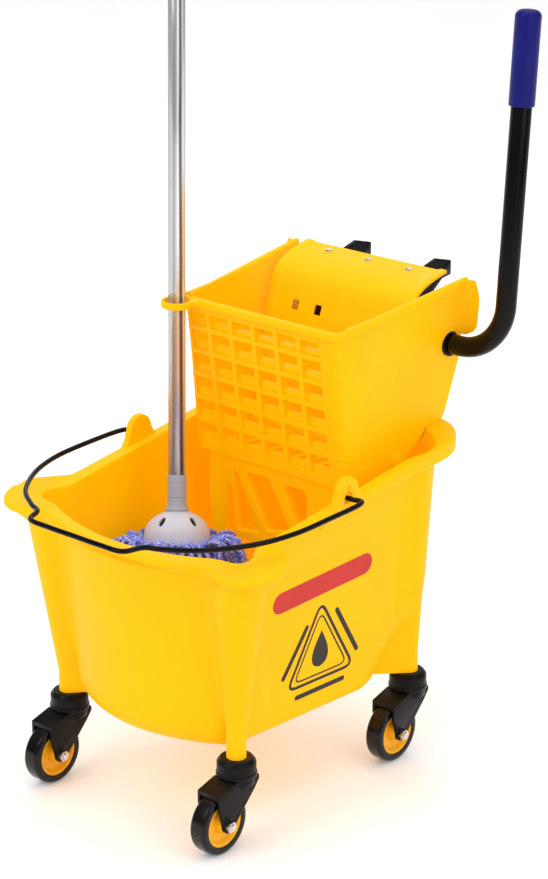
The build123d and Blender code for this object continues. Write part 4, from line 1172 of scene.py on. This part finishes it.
# lower frame with its leg, struts and windows
lattice = Shape()
FRAME_OUTLINE = [
    (-106, 366.8), (106, 366.8), (106, 300), (94, 240), (78, 240), (78, 270), (-20, 262), (-62, 262),
    (-68, 324), (-76, 330), (-80, 262), (-84, 240), (-100, 240), (-106, 300),
]
FRAME_WINDOWS = [
    rounded([(-46, 349), (-8, 352), (26, 290), (-12, 282)], [4, 14, 4, 4]),
    rounded([(14, 349), (52, 349), (52, 300), (40, 296)], [6, 9, 3, 3]),
    rounded([(-66, 350), (-58, 344), (-24, 276), (-60, 270)], [2, 3, 3, 6]),
]
lattice.add(*slab(rounded(FRAME_OUTLINE, 4), FRAME_WINDOWS, 62.2, 72, 1.2, upright))
for x, thickness, depth in ((-106, 12, 60), (58, 5, 26), (94, 12, 60)):
    rib = rounded([(71, 366.5), (62 + depth, 366.5), (47 + depth, 275), (74, 242), (71, 242)], 5)
    lattice.add(*slab(rib, [], x, x + thickness, 1.2, sideways))
lattice.piece("wringer_lattice", yellow, "wringer", "bucket_yellow", "wringer_frame")

# ring that the mop handle stands in, with its web to the wringer's corner
mop_ring = Shape()
RING_AT = (-117.0, 20.0, 560.0)
RING_IN, RING_OUT, RING_HALF = 15.2, 19.4, 4.2
RING_BAND = rounded(
    [(RING_IN, -RING_HALF), (RING_OUT, -RING_HALF), (RING_OUT, RING_HALF), (RING_IN, RING_HALF)], 1.8, 4
)
mop_ring.skin(lathe(RING_BAND, RING_AT, (0, 0, 1), 56), wrap=True)
mop_ring.add(
    *slab(
        rounded([(-112, 34), (-101, 27), (-90, 36), (-92, 46), (-118, 46)], 3), [], -3.8, 3.8, 1.4,
        lambda p: p + np.array((0, 0, RING_AT[2])),
    )
)
mop_ring.piece("mop_ring", yellow, "wringer", "bucket_yellow", "mop_holder_ring")

# ------------------------------------------------------------------ press plate
PLATE_CURVE = [
    (150, 387), (162, 451), (174, 515), (181, 538), (189, 563), (201, 576), (222, 585), (253, 592),
]
HINGE_YZ = (150, 381)
RIB_LIMIT = 95
plate_line = np.array(smooth_path(PLATE_CURVE, 5))
run = np.concatenate([[0], np.cumsum(np.linalg.norm(np.diff(plate_line, axis=0), axis=1))])


def on_plate(u, v, w):
    """Point of the press plate: u across, v along its curve, w out towards its rear."""
    (y1, z1), (y, z), (y2, z2) = ([np.interp(v + d, run, plate_line[:, k]) for k in (0, 1)] for d in (-1, 0, 1))
    size = hypot(y2 - y1, z2 - z1)
    w = w - 2.2 * ease(abs(u), 96, 101)
    return u, y + w * (z2 - z1) / size, z - w * (y2 - y1) / size


def on_rib(u, v, w):
    """Point of a rib behind the plate; the outer ribs keep to the plate's flat part."""
    return on_plate(min(max(u, -RIB_LIMIT), RIB_LIMIT), v, w)


def along_at(z):
    """Distance along the plate's curve at a height."""
    return float(np.interp(z, plate_line[:, 1], run))


press = Shape()
hole_low, hole_high = along_at(526), along_at(538)
plain_runs = [r for r in run if abs(r - hole_low) > 2 and abs(r - hole_high) > 2]
stations = sorted({0, hole_low, hole_high, *plain_runs})
press_x = [-110, -104, -101, -98, -95, -74, -62, -38, -26, 0, 30, 60, 95, 98, 101, 104, 110]
HOLE_COLUMNS = (5, 7)


def plate_cell(i, j):
    """True where the plate has no hole."""
    return not (i in HOLE_COLUMNS and hole_low - 0.1 <= stations[j] < hole_high - 0.1)


press.add(*sheet(press_x, stations, plate_cell, on_plate, 0.0, 4.0))
for u in (-98, -49, 0, 49, 98):
    press.add(*sheet([u - 1.5, u + 1.5], stations[:-5], lambda i, j: True, on_rib, 3.8, 9.0))
barrel_turns = np.linspace(0, 2 * pi, 20, endpoint=False)
press.skin([
    np.array([(x, HINGE_YZ[0] + 8 * cos(t), HINGE_YZ[1] + 8 * sin(t)) for t in barrel_turns]) for x in (-110, 110)
])
press_mesh = bevelled(press.mesh("press"), 0.8)
joined("press_plate_finished", [press_mesh], yellow, "press", "bucket_yellow", "press_plate")

# ------------------------------------------------------------------ lever, bail, casters, handle
for node, material, width in (
    ("lever_tube", black_paint, 0.4), ("lever_grip", blue_grip, 2.2), ("lever_shaft", zinc, 0.5),
    ("press_arm_left", black_paint, 0.7), ("press_arm_right", black_paint, 0.7),
    ("shaft_collars", black_paint, 0.5), ("shaft_bushing_left", black_plastic, 0.5),
    ("shaft_bushing_right", black_plastic, 0.5), ("hinge_rod", zinc, 0.5), ("rod_push_nuts", zinc, 0.3),
    ("frame_screws", zinc, 0.5), ("plate_screws", zinc, 0.5),
    ("mop_tube", steel_painted_reflection, 0),
    ("mop_end_cap", collar_plastic, 1.0), ("mop_clamp_disc", grey_plastic, 0.6),
    ("mop_clamp_screw", zinc, 0.3),
):
    soften(node, material, width)
for i in range(1, 5):
    for node, material, width in (
        ("caster_cap", black_plastic, 0.8), ("caster_stem", zinc, 0.4), ("caster_fork", black_plastic, 2.0),
        ("axle_bolt", zinc, 0.4), ("axle_nut", zinc, 0.5), ("wheel_hub", amber_plastic, 0.4),
        ("wheel_tyre", tyre_rubber, 0.4),
    ):
        soften(f"{node}_{i}", material, width)

CAP_PROFILE = [(10.4, -0.5), (10.4, 3.4), (9.2, 5.4), (5.0, 6.8), (0, 7.0)]
SHAFT_YZ = (240.0, 508.0)
COILS = 7
COIL_RADIUS = 12.0
COIL_START, COIL_LENGTH = 94.5, 21.0
for name, side in (("left", -1), ("right", 1)):
    cap = Shape()
    cap.skin(lathe(CAP_PROFILE, (side * 117.6, *HINGE_YZ), (side, 0, 0), 32))
    cap.piece("hinge_cap_" + name, yellow, "wringer", "bucket_yellow")
    coil = []
    for turn in np.linspace(0, COILS * 2 * pi, COILS * 20 + 1):
        x = side * (COIL_START + COIL_LENGTH * turn / (COILS * 2 * pi))
        coil.append((x, SHAFT_YZ[0] + COIL_RADIUS * cos(turn), SHAFT_YZ[1] + COIL_RADIUS * sin(turn)))
    spring = Shape()
    spring.skin(tube_rows(coil, 1.2, 8))
    spring.piece("coil_spring_" + name, zinc, "wringer", "zinc_steel", "return_spring_" + name)

BAIL_LINE = [
    (164.5, 0, 388), (174, 0, 388), (190, -3, 388), (192, -60, 387), (189, -118, 385), (173, -168, 383),
    (140, -215, 382), (104, -240, 381), (84, -250, 381), (72, -272, 380), (40, -275, 380), (0, -275, 380),
]
bail_line = smooth_path(BAIL_LINE + [(-x, y, z) for x, y, z in BAIL_LINE[-2::-1]], 7)
bail = Shape()
bail.skin(tube_rows(bail_line, 3.1, 14))
bail.piece("bail_finished", black_paint, "bail", "bail_black", "bail_wire")

# ------------------------------------------------------------------ mop
MOP_AXIS = Vector((-0.20519, 0.23399, 0.95034)).normalized()
DOME = Vector((-60, -45, 296))


def turned(profile):
    """Round piece on the mop's axis from a closed (radius, height) profile."""
    shape = Shape()
    shape.skin(lathe(profile, DOME, MOP_AXIS, 64), wrap=True)
    return shape


def ellipse(radius, height, start, end, steps):
    """Quarter of the dome's outline."""
    return [(radius * cos(t), height * sin(t)) for t in np.radians(np.linspace(start, end, steps))]


VENT_TURN = -10.4               # direction of the first vent, degrees from +X
VENTS = 5
VENT_HALF = (3.9, 6.8)          # half width and half height of a vent


def vent_cutters():
    """Oval bars through the dome where its vents are."""
    first_way = Vector((cos(radians(VENT_TURN)), sin(radians(VENT_TURN)), 0))
    first_way = (first_way - MOP_AXIS * first_way.dot(MOP_AXIS)).normalized()
    cutters = Shape()
    for number in range(VENTS):
        way = Matrix.Rotation(2 * pi * number / VENTS, 3, MOP_AXIS) @ first_way
        outward = (way * 0.88 + MOP_AXIS * 0.46).normalized()
        up = (MOP_AXIS - outward * MOP_AXIS.dot(outward)).normalized()
        across = outward.cross(up)
        oval = [
            across * (VENT_HALF[0] * cos(t)) + up * (VENT_HALF[1] * sin(t))
            for t in np.linspace(0, 2 * pi, 24, endpoint=False)
        ]
        hubs = [DOME + MOP_AXIS * 0.5 + outward * far for far in (14, 60)]
        cutters.skin([np.array([hub + point for point in oval]) for hub in hubs])
    return cutters.mesh("vents")


dome_profile = [(39, -13), (40, -3)] + ellipse(39.6, 30, 0, 68, 16)
dome_profile += [(13.4, 29.3), (12.6, 31.6), (12.0, 31.6), (6, 31.6), (6, 27)]
dome_profile += ellipse(36, 27, 70, 0, 12) + [(36, -13)]
dome_holder = placed("dome_holder", turned(dome_profile).mesh("dome"))
vent_holder = placed("vent_holder", vent_cutters())
cut = dome_holder.modifiers.new("cut", "BOOLEAN")
cut.object = vent_holder
cut.solver = "EXACT"
add_bevel(dome_holder, 0.5, 40)
dome_cut = applied(dome_holder)
bpy.data.objects.remove(vent_holder)
joined("mop_dome_finished", [dome_cut], grey_plastic, "mop", "mop_grey", "mop_dome")
neck = turned([
    (6, 30), (15, 30), (14.6, 31.8), (12.4, 33.4), (11.5, 36), (11.4, 44), (10.9, 44.5), (10.9, 45.1),
    (11.5, 45.6), (11.6, 48), (11.6, 62), (11.2, 62.5), (11.2, 63.1), (11.6, 63.6), (11.5, 71.2), (10.8, 72),
    (10.55, 72), (6, 72),
])
neck.piece("mop_neck", collar_plastic, "mop", "mop_grey", "mop_collar")

VIEW_TURN = radians(-46.4)      # side on which the yarn lies lowest
STRANDS = 230
GOLDEN_SHARE = 0.6180339        # turn from one strand to the next, so that they spread evenly


def make_strand_group():
    """Geometry group: a strand of random thickness swept along every line of a mesh."""
    inputs = [("Strand Radius", "Float"), ("Thickness Change", "Float"), ("Seed", "Int")]
    group, sockets, given, paint = geometry_group("yarn_strands", inputs)
    line = group.nodes.new("GeometryNodeMeshToCurve")
    vary = group.nodes.new("FunctionNodeRandomValue")
    vary.data_type = "FLOAT"
    size = group.nodes.new("GeometryNodeSetCurveRadius")
    ring_line = group.nodes.new("GeometryNodeCurvePrimitiveCircle")
    ring_line.inputs["Resolution"].default_value = 6
    sweep = group.nodes.new("GeometryNodeCurveToMesh")
    least, most = [socket for socket in vary.inputs if socket.type == "VALUE"][:2]
    group.links.new(math_node(group, "SUBTRACT", 1.0, given.outputs["Thickness Change"]), least)
    most.default_value = 1.0
    group.links.new(given.outputs["Seed"], vary.inputs["Seed"])
    group.links.new(given.outputs["Geometry"], line.inputs["Mesh"])
    group.links.new(line.outputs["Curve"], size.inputs["Curve"])
    group.links.new([socket for socket in vary.outputs if socket.type == "VALUE"][0], size.inputs["Radius"])
    group.links.new(given.outputs["Strand Radius"], ring_line.inputs["Radius"])
    group.links.new(size.outputs["Curve"], sweep.inputs["Curve"])
    group.links.new(ring_line.outputs["Curve"], sweep.inputs["Profile Curve"])
    sweep.inputs["Fill Caps"].default_value = True
    read = group.nodes.new("GeometryNodeInputNamedAttribute")
    read.data_type = "FLOAT"
    read.inputs["Name"].default_value = "radius"
    group.links.new(read.outputs["Attribute"], sweep.inputs["Scale"])
    group.links.new(sweep.outputs["Mesh"], paint.inputs["Geometry"])
    return group, sockets


def yarn_material():
    """Blue looped yarn: pale flecks, darker blue patches at random as painted shade for the hollows, and a fine
    twist.
    """
    material, tree, shader = new_material("yarn")
    place = tree.nodes.new("ShaderNodeTexCoord").outputs["Object"]
    fleck = noise(tree, place, 420.0, 2.0, 0.7)
    patch = noise(tree, place, 40.0, 2.0)
    # painted shade: the darker blue, laid in random patches, stands for the shaded hollows between loops
    base = blend_colours(tree, spread(tree, patch, 0.35, 0.65), (0.06, 0.10, 0.60, 1), (0.15, 0.22, 0.88, 1))
    coloured = blend_colours(tree, spread(tree, fleck, 0.52, 0.62), base, (0.62, 0.70, 0.98, 1))
    tree.links.new(coloured, shader.inputs["Base Color"])
    tree.links.new(spread(tree, fleck, 0.3, 0.7, 0.75, 0.95), shader.inputs["Roughness"])
    shader.inputs["Sheen Weight"].default_value = 0.35
    shader.inputs["Specular IOR Level"].default_value = 0.2
    bump(tree, shader, fleck, 0.9, 0.0012)
    return material


MOP_LIFTS = np.array([0.0, 25.0, 52.0])     # how far the mop slides up out of the tub


def inside_tub(point, room=5.0):
    """The point, moved in until it clears the tub's walls at every height of the mop."""
    x, y, z = point
    for _ in range(6):
        ahead = [start + MOP_LIFTS * along for start, along in zip((x, y, z), MOP_AXIS)]
        past = float(np.max(tub_distance(*ahead))) + WALL + room
        if past <= 0:
            break
        scale = 1 - past / max(hypot(x, y), 1)
        x, y = x * scale, y * scale
    return np.array((x, y, z))


def strand_lines():
    """Lines of the strands, from under the dome over the bulge and down to the bucket's floor."""
    chance = np.random.default_rng(11)
    lines = []
    tilt = Vector((0, 0, 1)).rotation_difference(MOP_AXIS).to_matrix()

    def out_from(x, y, reach, turn, z):
        return Vector((x + reach * cos(turn), y + reach * sin(turn), z))

    for i in range(STRANDS):
        turn = 2 * pi * i * GOLDEN_SHARE + chance.uniform(-0.1, 0.1)
        layer = (i % 5) / 4
        out = 48 + 37 * layer + chance.uniform(-5, 4)
        root = DOME + tilt @ out_from(0, 0, 30, turn, -13 - 6 * (1 - layer))
        rise = tilt @ out_from(0, 0, out * 0.86, turn, -25 + 9 * layer + chance.uniform(-4, 4))
        bulge = DOME + rise + Vector((0, 0, 9 * (1 - cos(turn - VIEW_TURN))))
        lean_turn = turn + chance.uniform(-0.35, 0.35)
        mid = out_from(-58, -47, out, lean_turn, 236 + chance.uniform(-12, 12))
        low_turn = lean_turn + chance.uniform(-0.4, 0.4)
        foot_out = 28 + 40 * layer + chance.uniform(-8, 6)
        low = out_from(-50, -54, foot_out, low_turn, 160 + chance.uniform(-10, 14))
        foot = out_from(-48, -55, foot_out + 3, low_turn + 0.2, 122 + chance.uniform(0, 8))
        tail = Vector((foot.x * 0.8 - 9.6, foot.y * 0.8 - 11, 119 + chance.uniform(0, 9)))
        path = [root, (root + bulge) / 2 + Vector((0, 0, 5 * layer)), bulge, mid, low, foot, tail]
        curl, phase = chance.uniform(0.8, 2.4), chance.uniform(0, 6.28)
        line = []
        for step, point in enumerate(smooth_path(path, 5)):
            wobble = curl * min(1.0, step / 5)
            swing = (sin(step * 1.3 + phase), cos(step * 1.1 + phase), 0.6 * sin(step * 1.7 + phase))
            line.append(inside_tub(point + np.array(swing) * wobble))
        lines.append(line)
    return lines


yarn_mesh = bpy.data.meshes.new("yarn_lines")
yarn_points, yarn_edges = [], []
for line in strand_lines():
    start = len(yarn_points)
    yarn_points += [tuple(np.array(p) * MM + np.array(HOME)) for p in line]
    yarn_edges += [(start + k, start + k + 1) for k in range(len(line) - 1)]
yarn_mesh.from_pydata(yarn_points, yarn_edges, [])
blue_yarn = yarn_material()
strands = run_group(
    yarn_mesh, make_strand_group(), Strand_Radius=0.0029, Thickness_Change=0.4, Seed=5, Material=blue_yarn,
)
strands.polygons.foreach_set("use_smooth", [True] * len(strands.polygons))
joined("yarn_strands", [strands], blue_yarn, "mop", "yarn_blue", "mop_yarn")

TAG_AT = (-31, -22, 290)
TAG_LAY = np.array([(0.8, -0.5, 0.2), (-0.5, 0, 1), (0, 1, 0)])     # where its u, v and depth point
tag = Shape()
tag.add(
    *slab(rounded([(-6, -7), (6, -7), (6, 7), (-6, 7)], 1.2), [], -0.4, 0.4, 0.2, lambda p: TAG_AT + p @ TAG_LAY)
)
tag.piece("care_tag", white_tag, "mop", "mop_grey")

# ------------------------------------------------------------------ plain label on the side walls
LABEL_LIFT = 0.22
# section of a raised strip: share of its half width, and height over the wall
STRIP_SECTION = [(-1, -0.6)] + [(reach, LABEL_LIFT) for reach in (-1, -0.33, 0.33, 1)] + [(1, -0.6)]


def wall_at(y, z):
    """Half width of the tub's wall inside the label panel."""
    low, high = 90.0, 175.0
    for _ in range(22):
        x = (low + high) / 2
        if float(outer_distance(*np.array((x, y, z), float))) < 0:
            low = x
        else:
            high = x
    return low - PANEL_DEPTH


def ribbon(shape, side, points, half, closed=False):
    """Raised strip on the wall along (y, z) points; half is its half width at each."""
    points = np.array(points, float)
    count = len(points)
    rows = []
    for i, (y, z) in enumerate(points):
        before = points[i - 1] if closed or i else points[i]
        after = points[(i + 1) % count] if closed or i < count - 1 else points[i]
        ahead = after - before
        ahead /= np.linalg.norm(ahead)
        across = np.array((-ahead[1], ahead[0]))
        width = half[i] if hasattr(half, "__len__") else half
        ring_points = []
        for reach, lift in STRIP_SECTION:
            at_y, at_z = (y, z) + across * width * reach
            ring_points.append((side * (wall_at(at_y, at_z) + lift), at_y, at_z))
        rows.append(np.array(ring_points))
    shape.skin(rows, wrap=closed)


def bar(shape, side, start, end, half):
    """Straight strip with round ends."""
    start, end = np.array(start, float), np.array(end, float)
    length = np.linalg.norm(end - start)
    ends = [half * (1 - cos(t)) for t in np.linspace(0.15, pi / 2, 6)]
    distances = ends + list(np.linspace(half, length - half, 14)[1:-1]) + [length - d for d in ends[::-1]]
    halves = [half * sqrt(max(0.02, 1 - max(0, 1 - min(d, length - d) / half) ** 2)) for d in distances]
    ribbon(shape, side, [start + (end - start) * d / length for d in distances], halves)


def filled_out(outline, step):
    """Closed outline with points added so that none lie much more than a step apart."""
    dense = []
    for i, p in enumerate(outline):
        q = outline[(i + 1) % len(outline)]
        parts = max(1, int(hypot(q[0] - p[0], q[1] - p[1]) / step))
        dense += [(p[0] + (q[0] - p[0]) * k / parts, p[1] + (q[1] - p[1]) * k / parts) for k in range(parts)]
    return dense


TRIANGLE = [(-63.9, 155.0), (48.7, 154.0), (-15.1, 257.3)]
TRIANGLE_MIDDLE = np.mean(TRIANGLE, axis=0)
DROP_LOW, DROP_HIGH = 171, 219
DARK_BARS = [((-50, 141), (35, 141)), ((-74, 172), (-36, 233)), ((12, 240), (55, 171))]
red_label, dark_label = Shape(), Shape()
for side in (1, -1):
    bar(red_label, side, (-100, 277), (72, 283), 13.5)
    for shrink, half in ((1.0, 2.0), (0.80, 1.1)):
        corners = [tuple(TRIANGLE_MIDDLE + (np.array(p) - TRIANGLE_MIDDLE) * shrink) for p in TRIANGLE]
        ribbon(dark_label, side, filled_out(rounded(corners, 9 * shrink, 6), 8), half, closed=True)
    drop_shares = np.linspace(0, 1, 16)
    drop_line = [(TRIANGLE_MIDDLE[0] - 1, DROP_LOW + (DROP_HIGH - DROP_LOW) * share) for share in drop_shares]
    drop_half = [13.5 * sin(pi * min(1, share**0.62 + 0.02)) ** 0.9 + 0.3 for share in drop_shares]
    ribbon(dark_label, side, drop_line, drop_half)
    for start, end in DARK_BARS:
        bar(dark_label, side, start, end, 3.2)
red_label.piece("label_bar", label_red, "bucket", "bucket_yellow")
dark_label.piece("label_triangle", label_black, "bucket", "bucket_yellow")
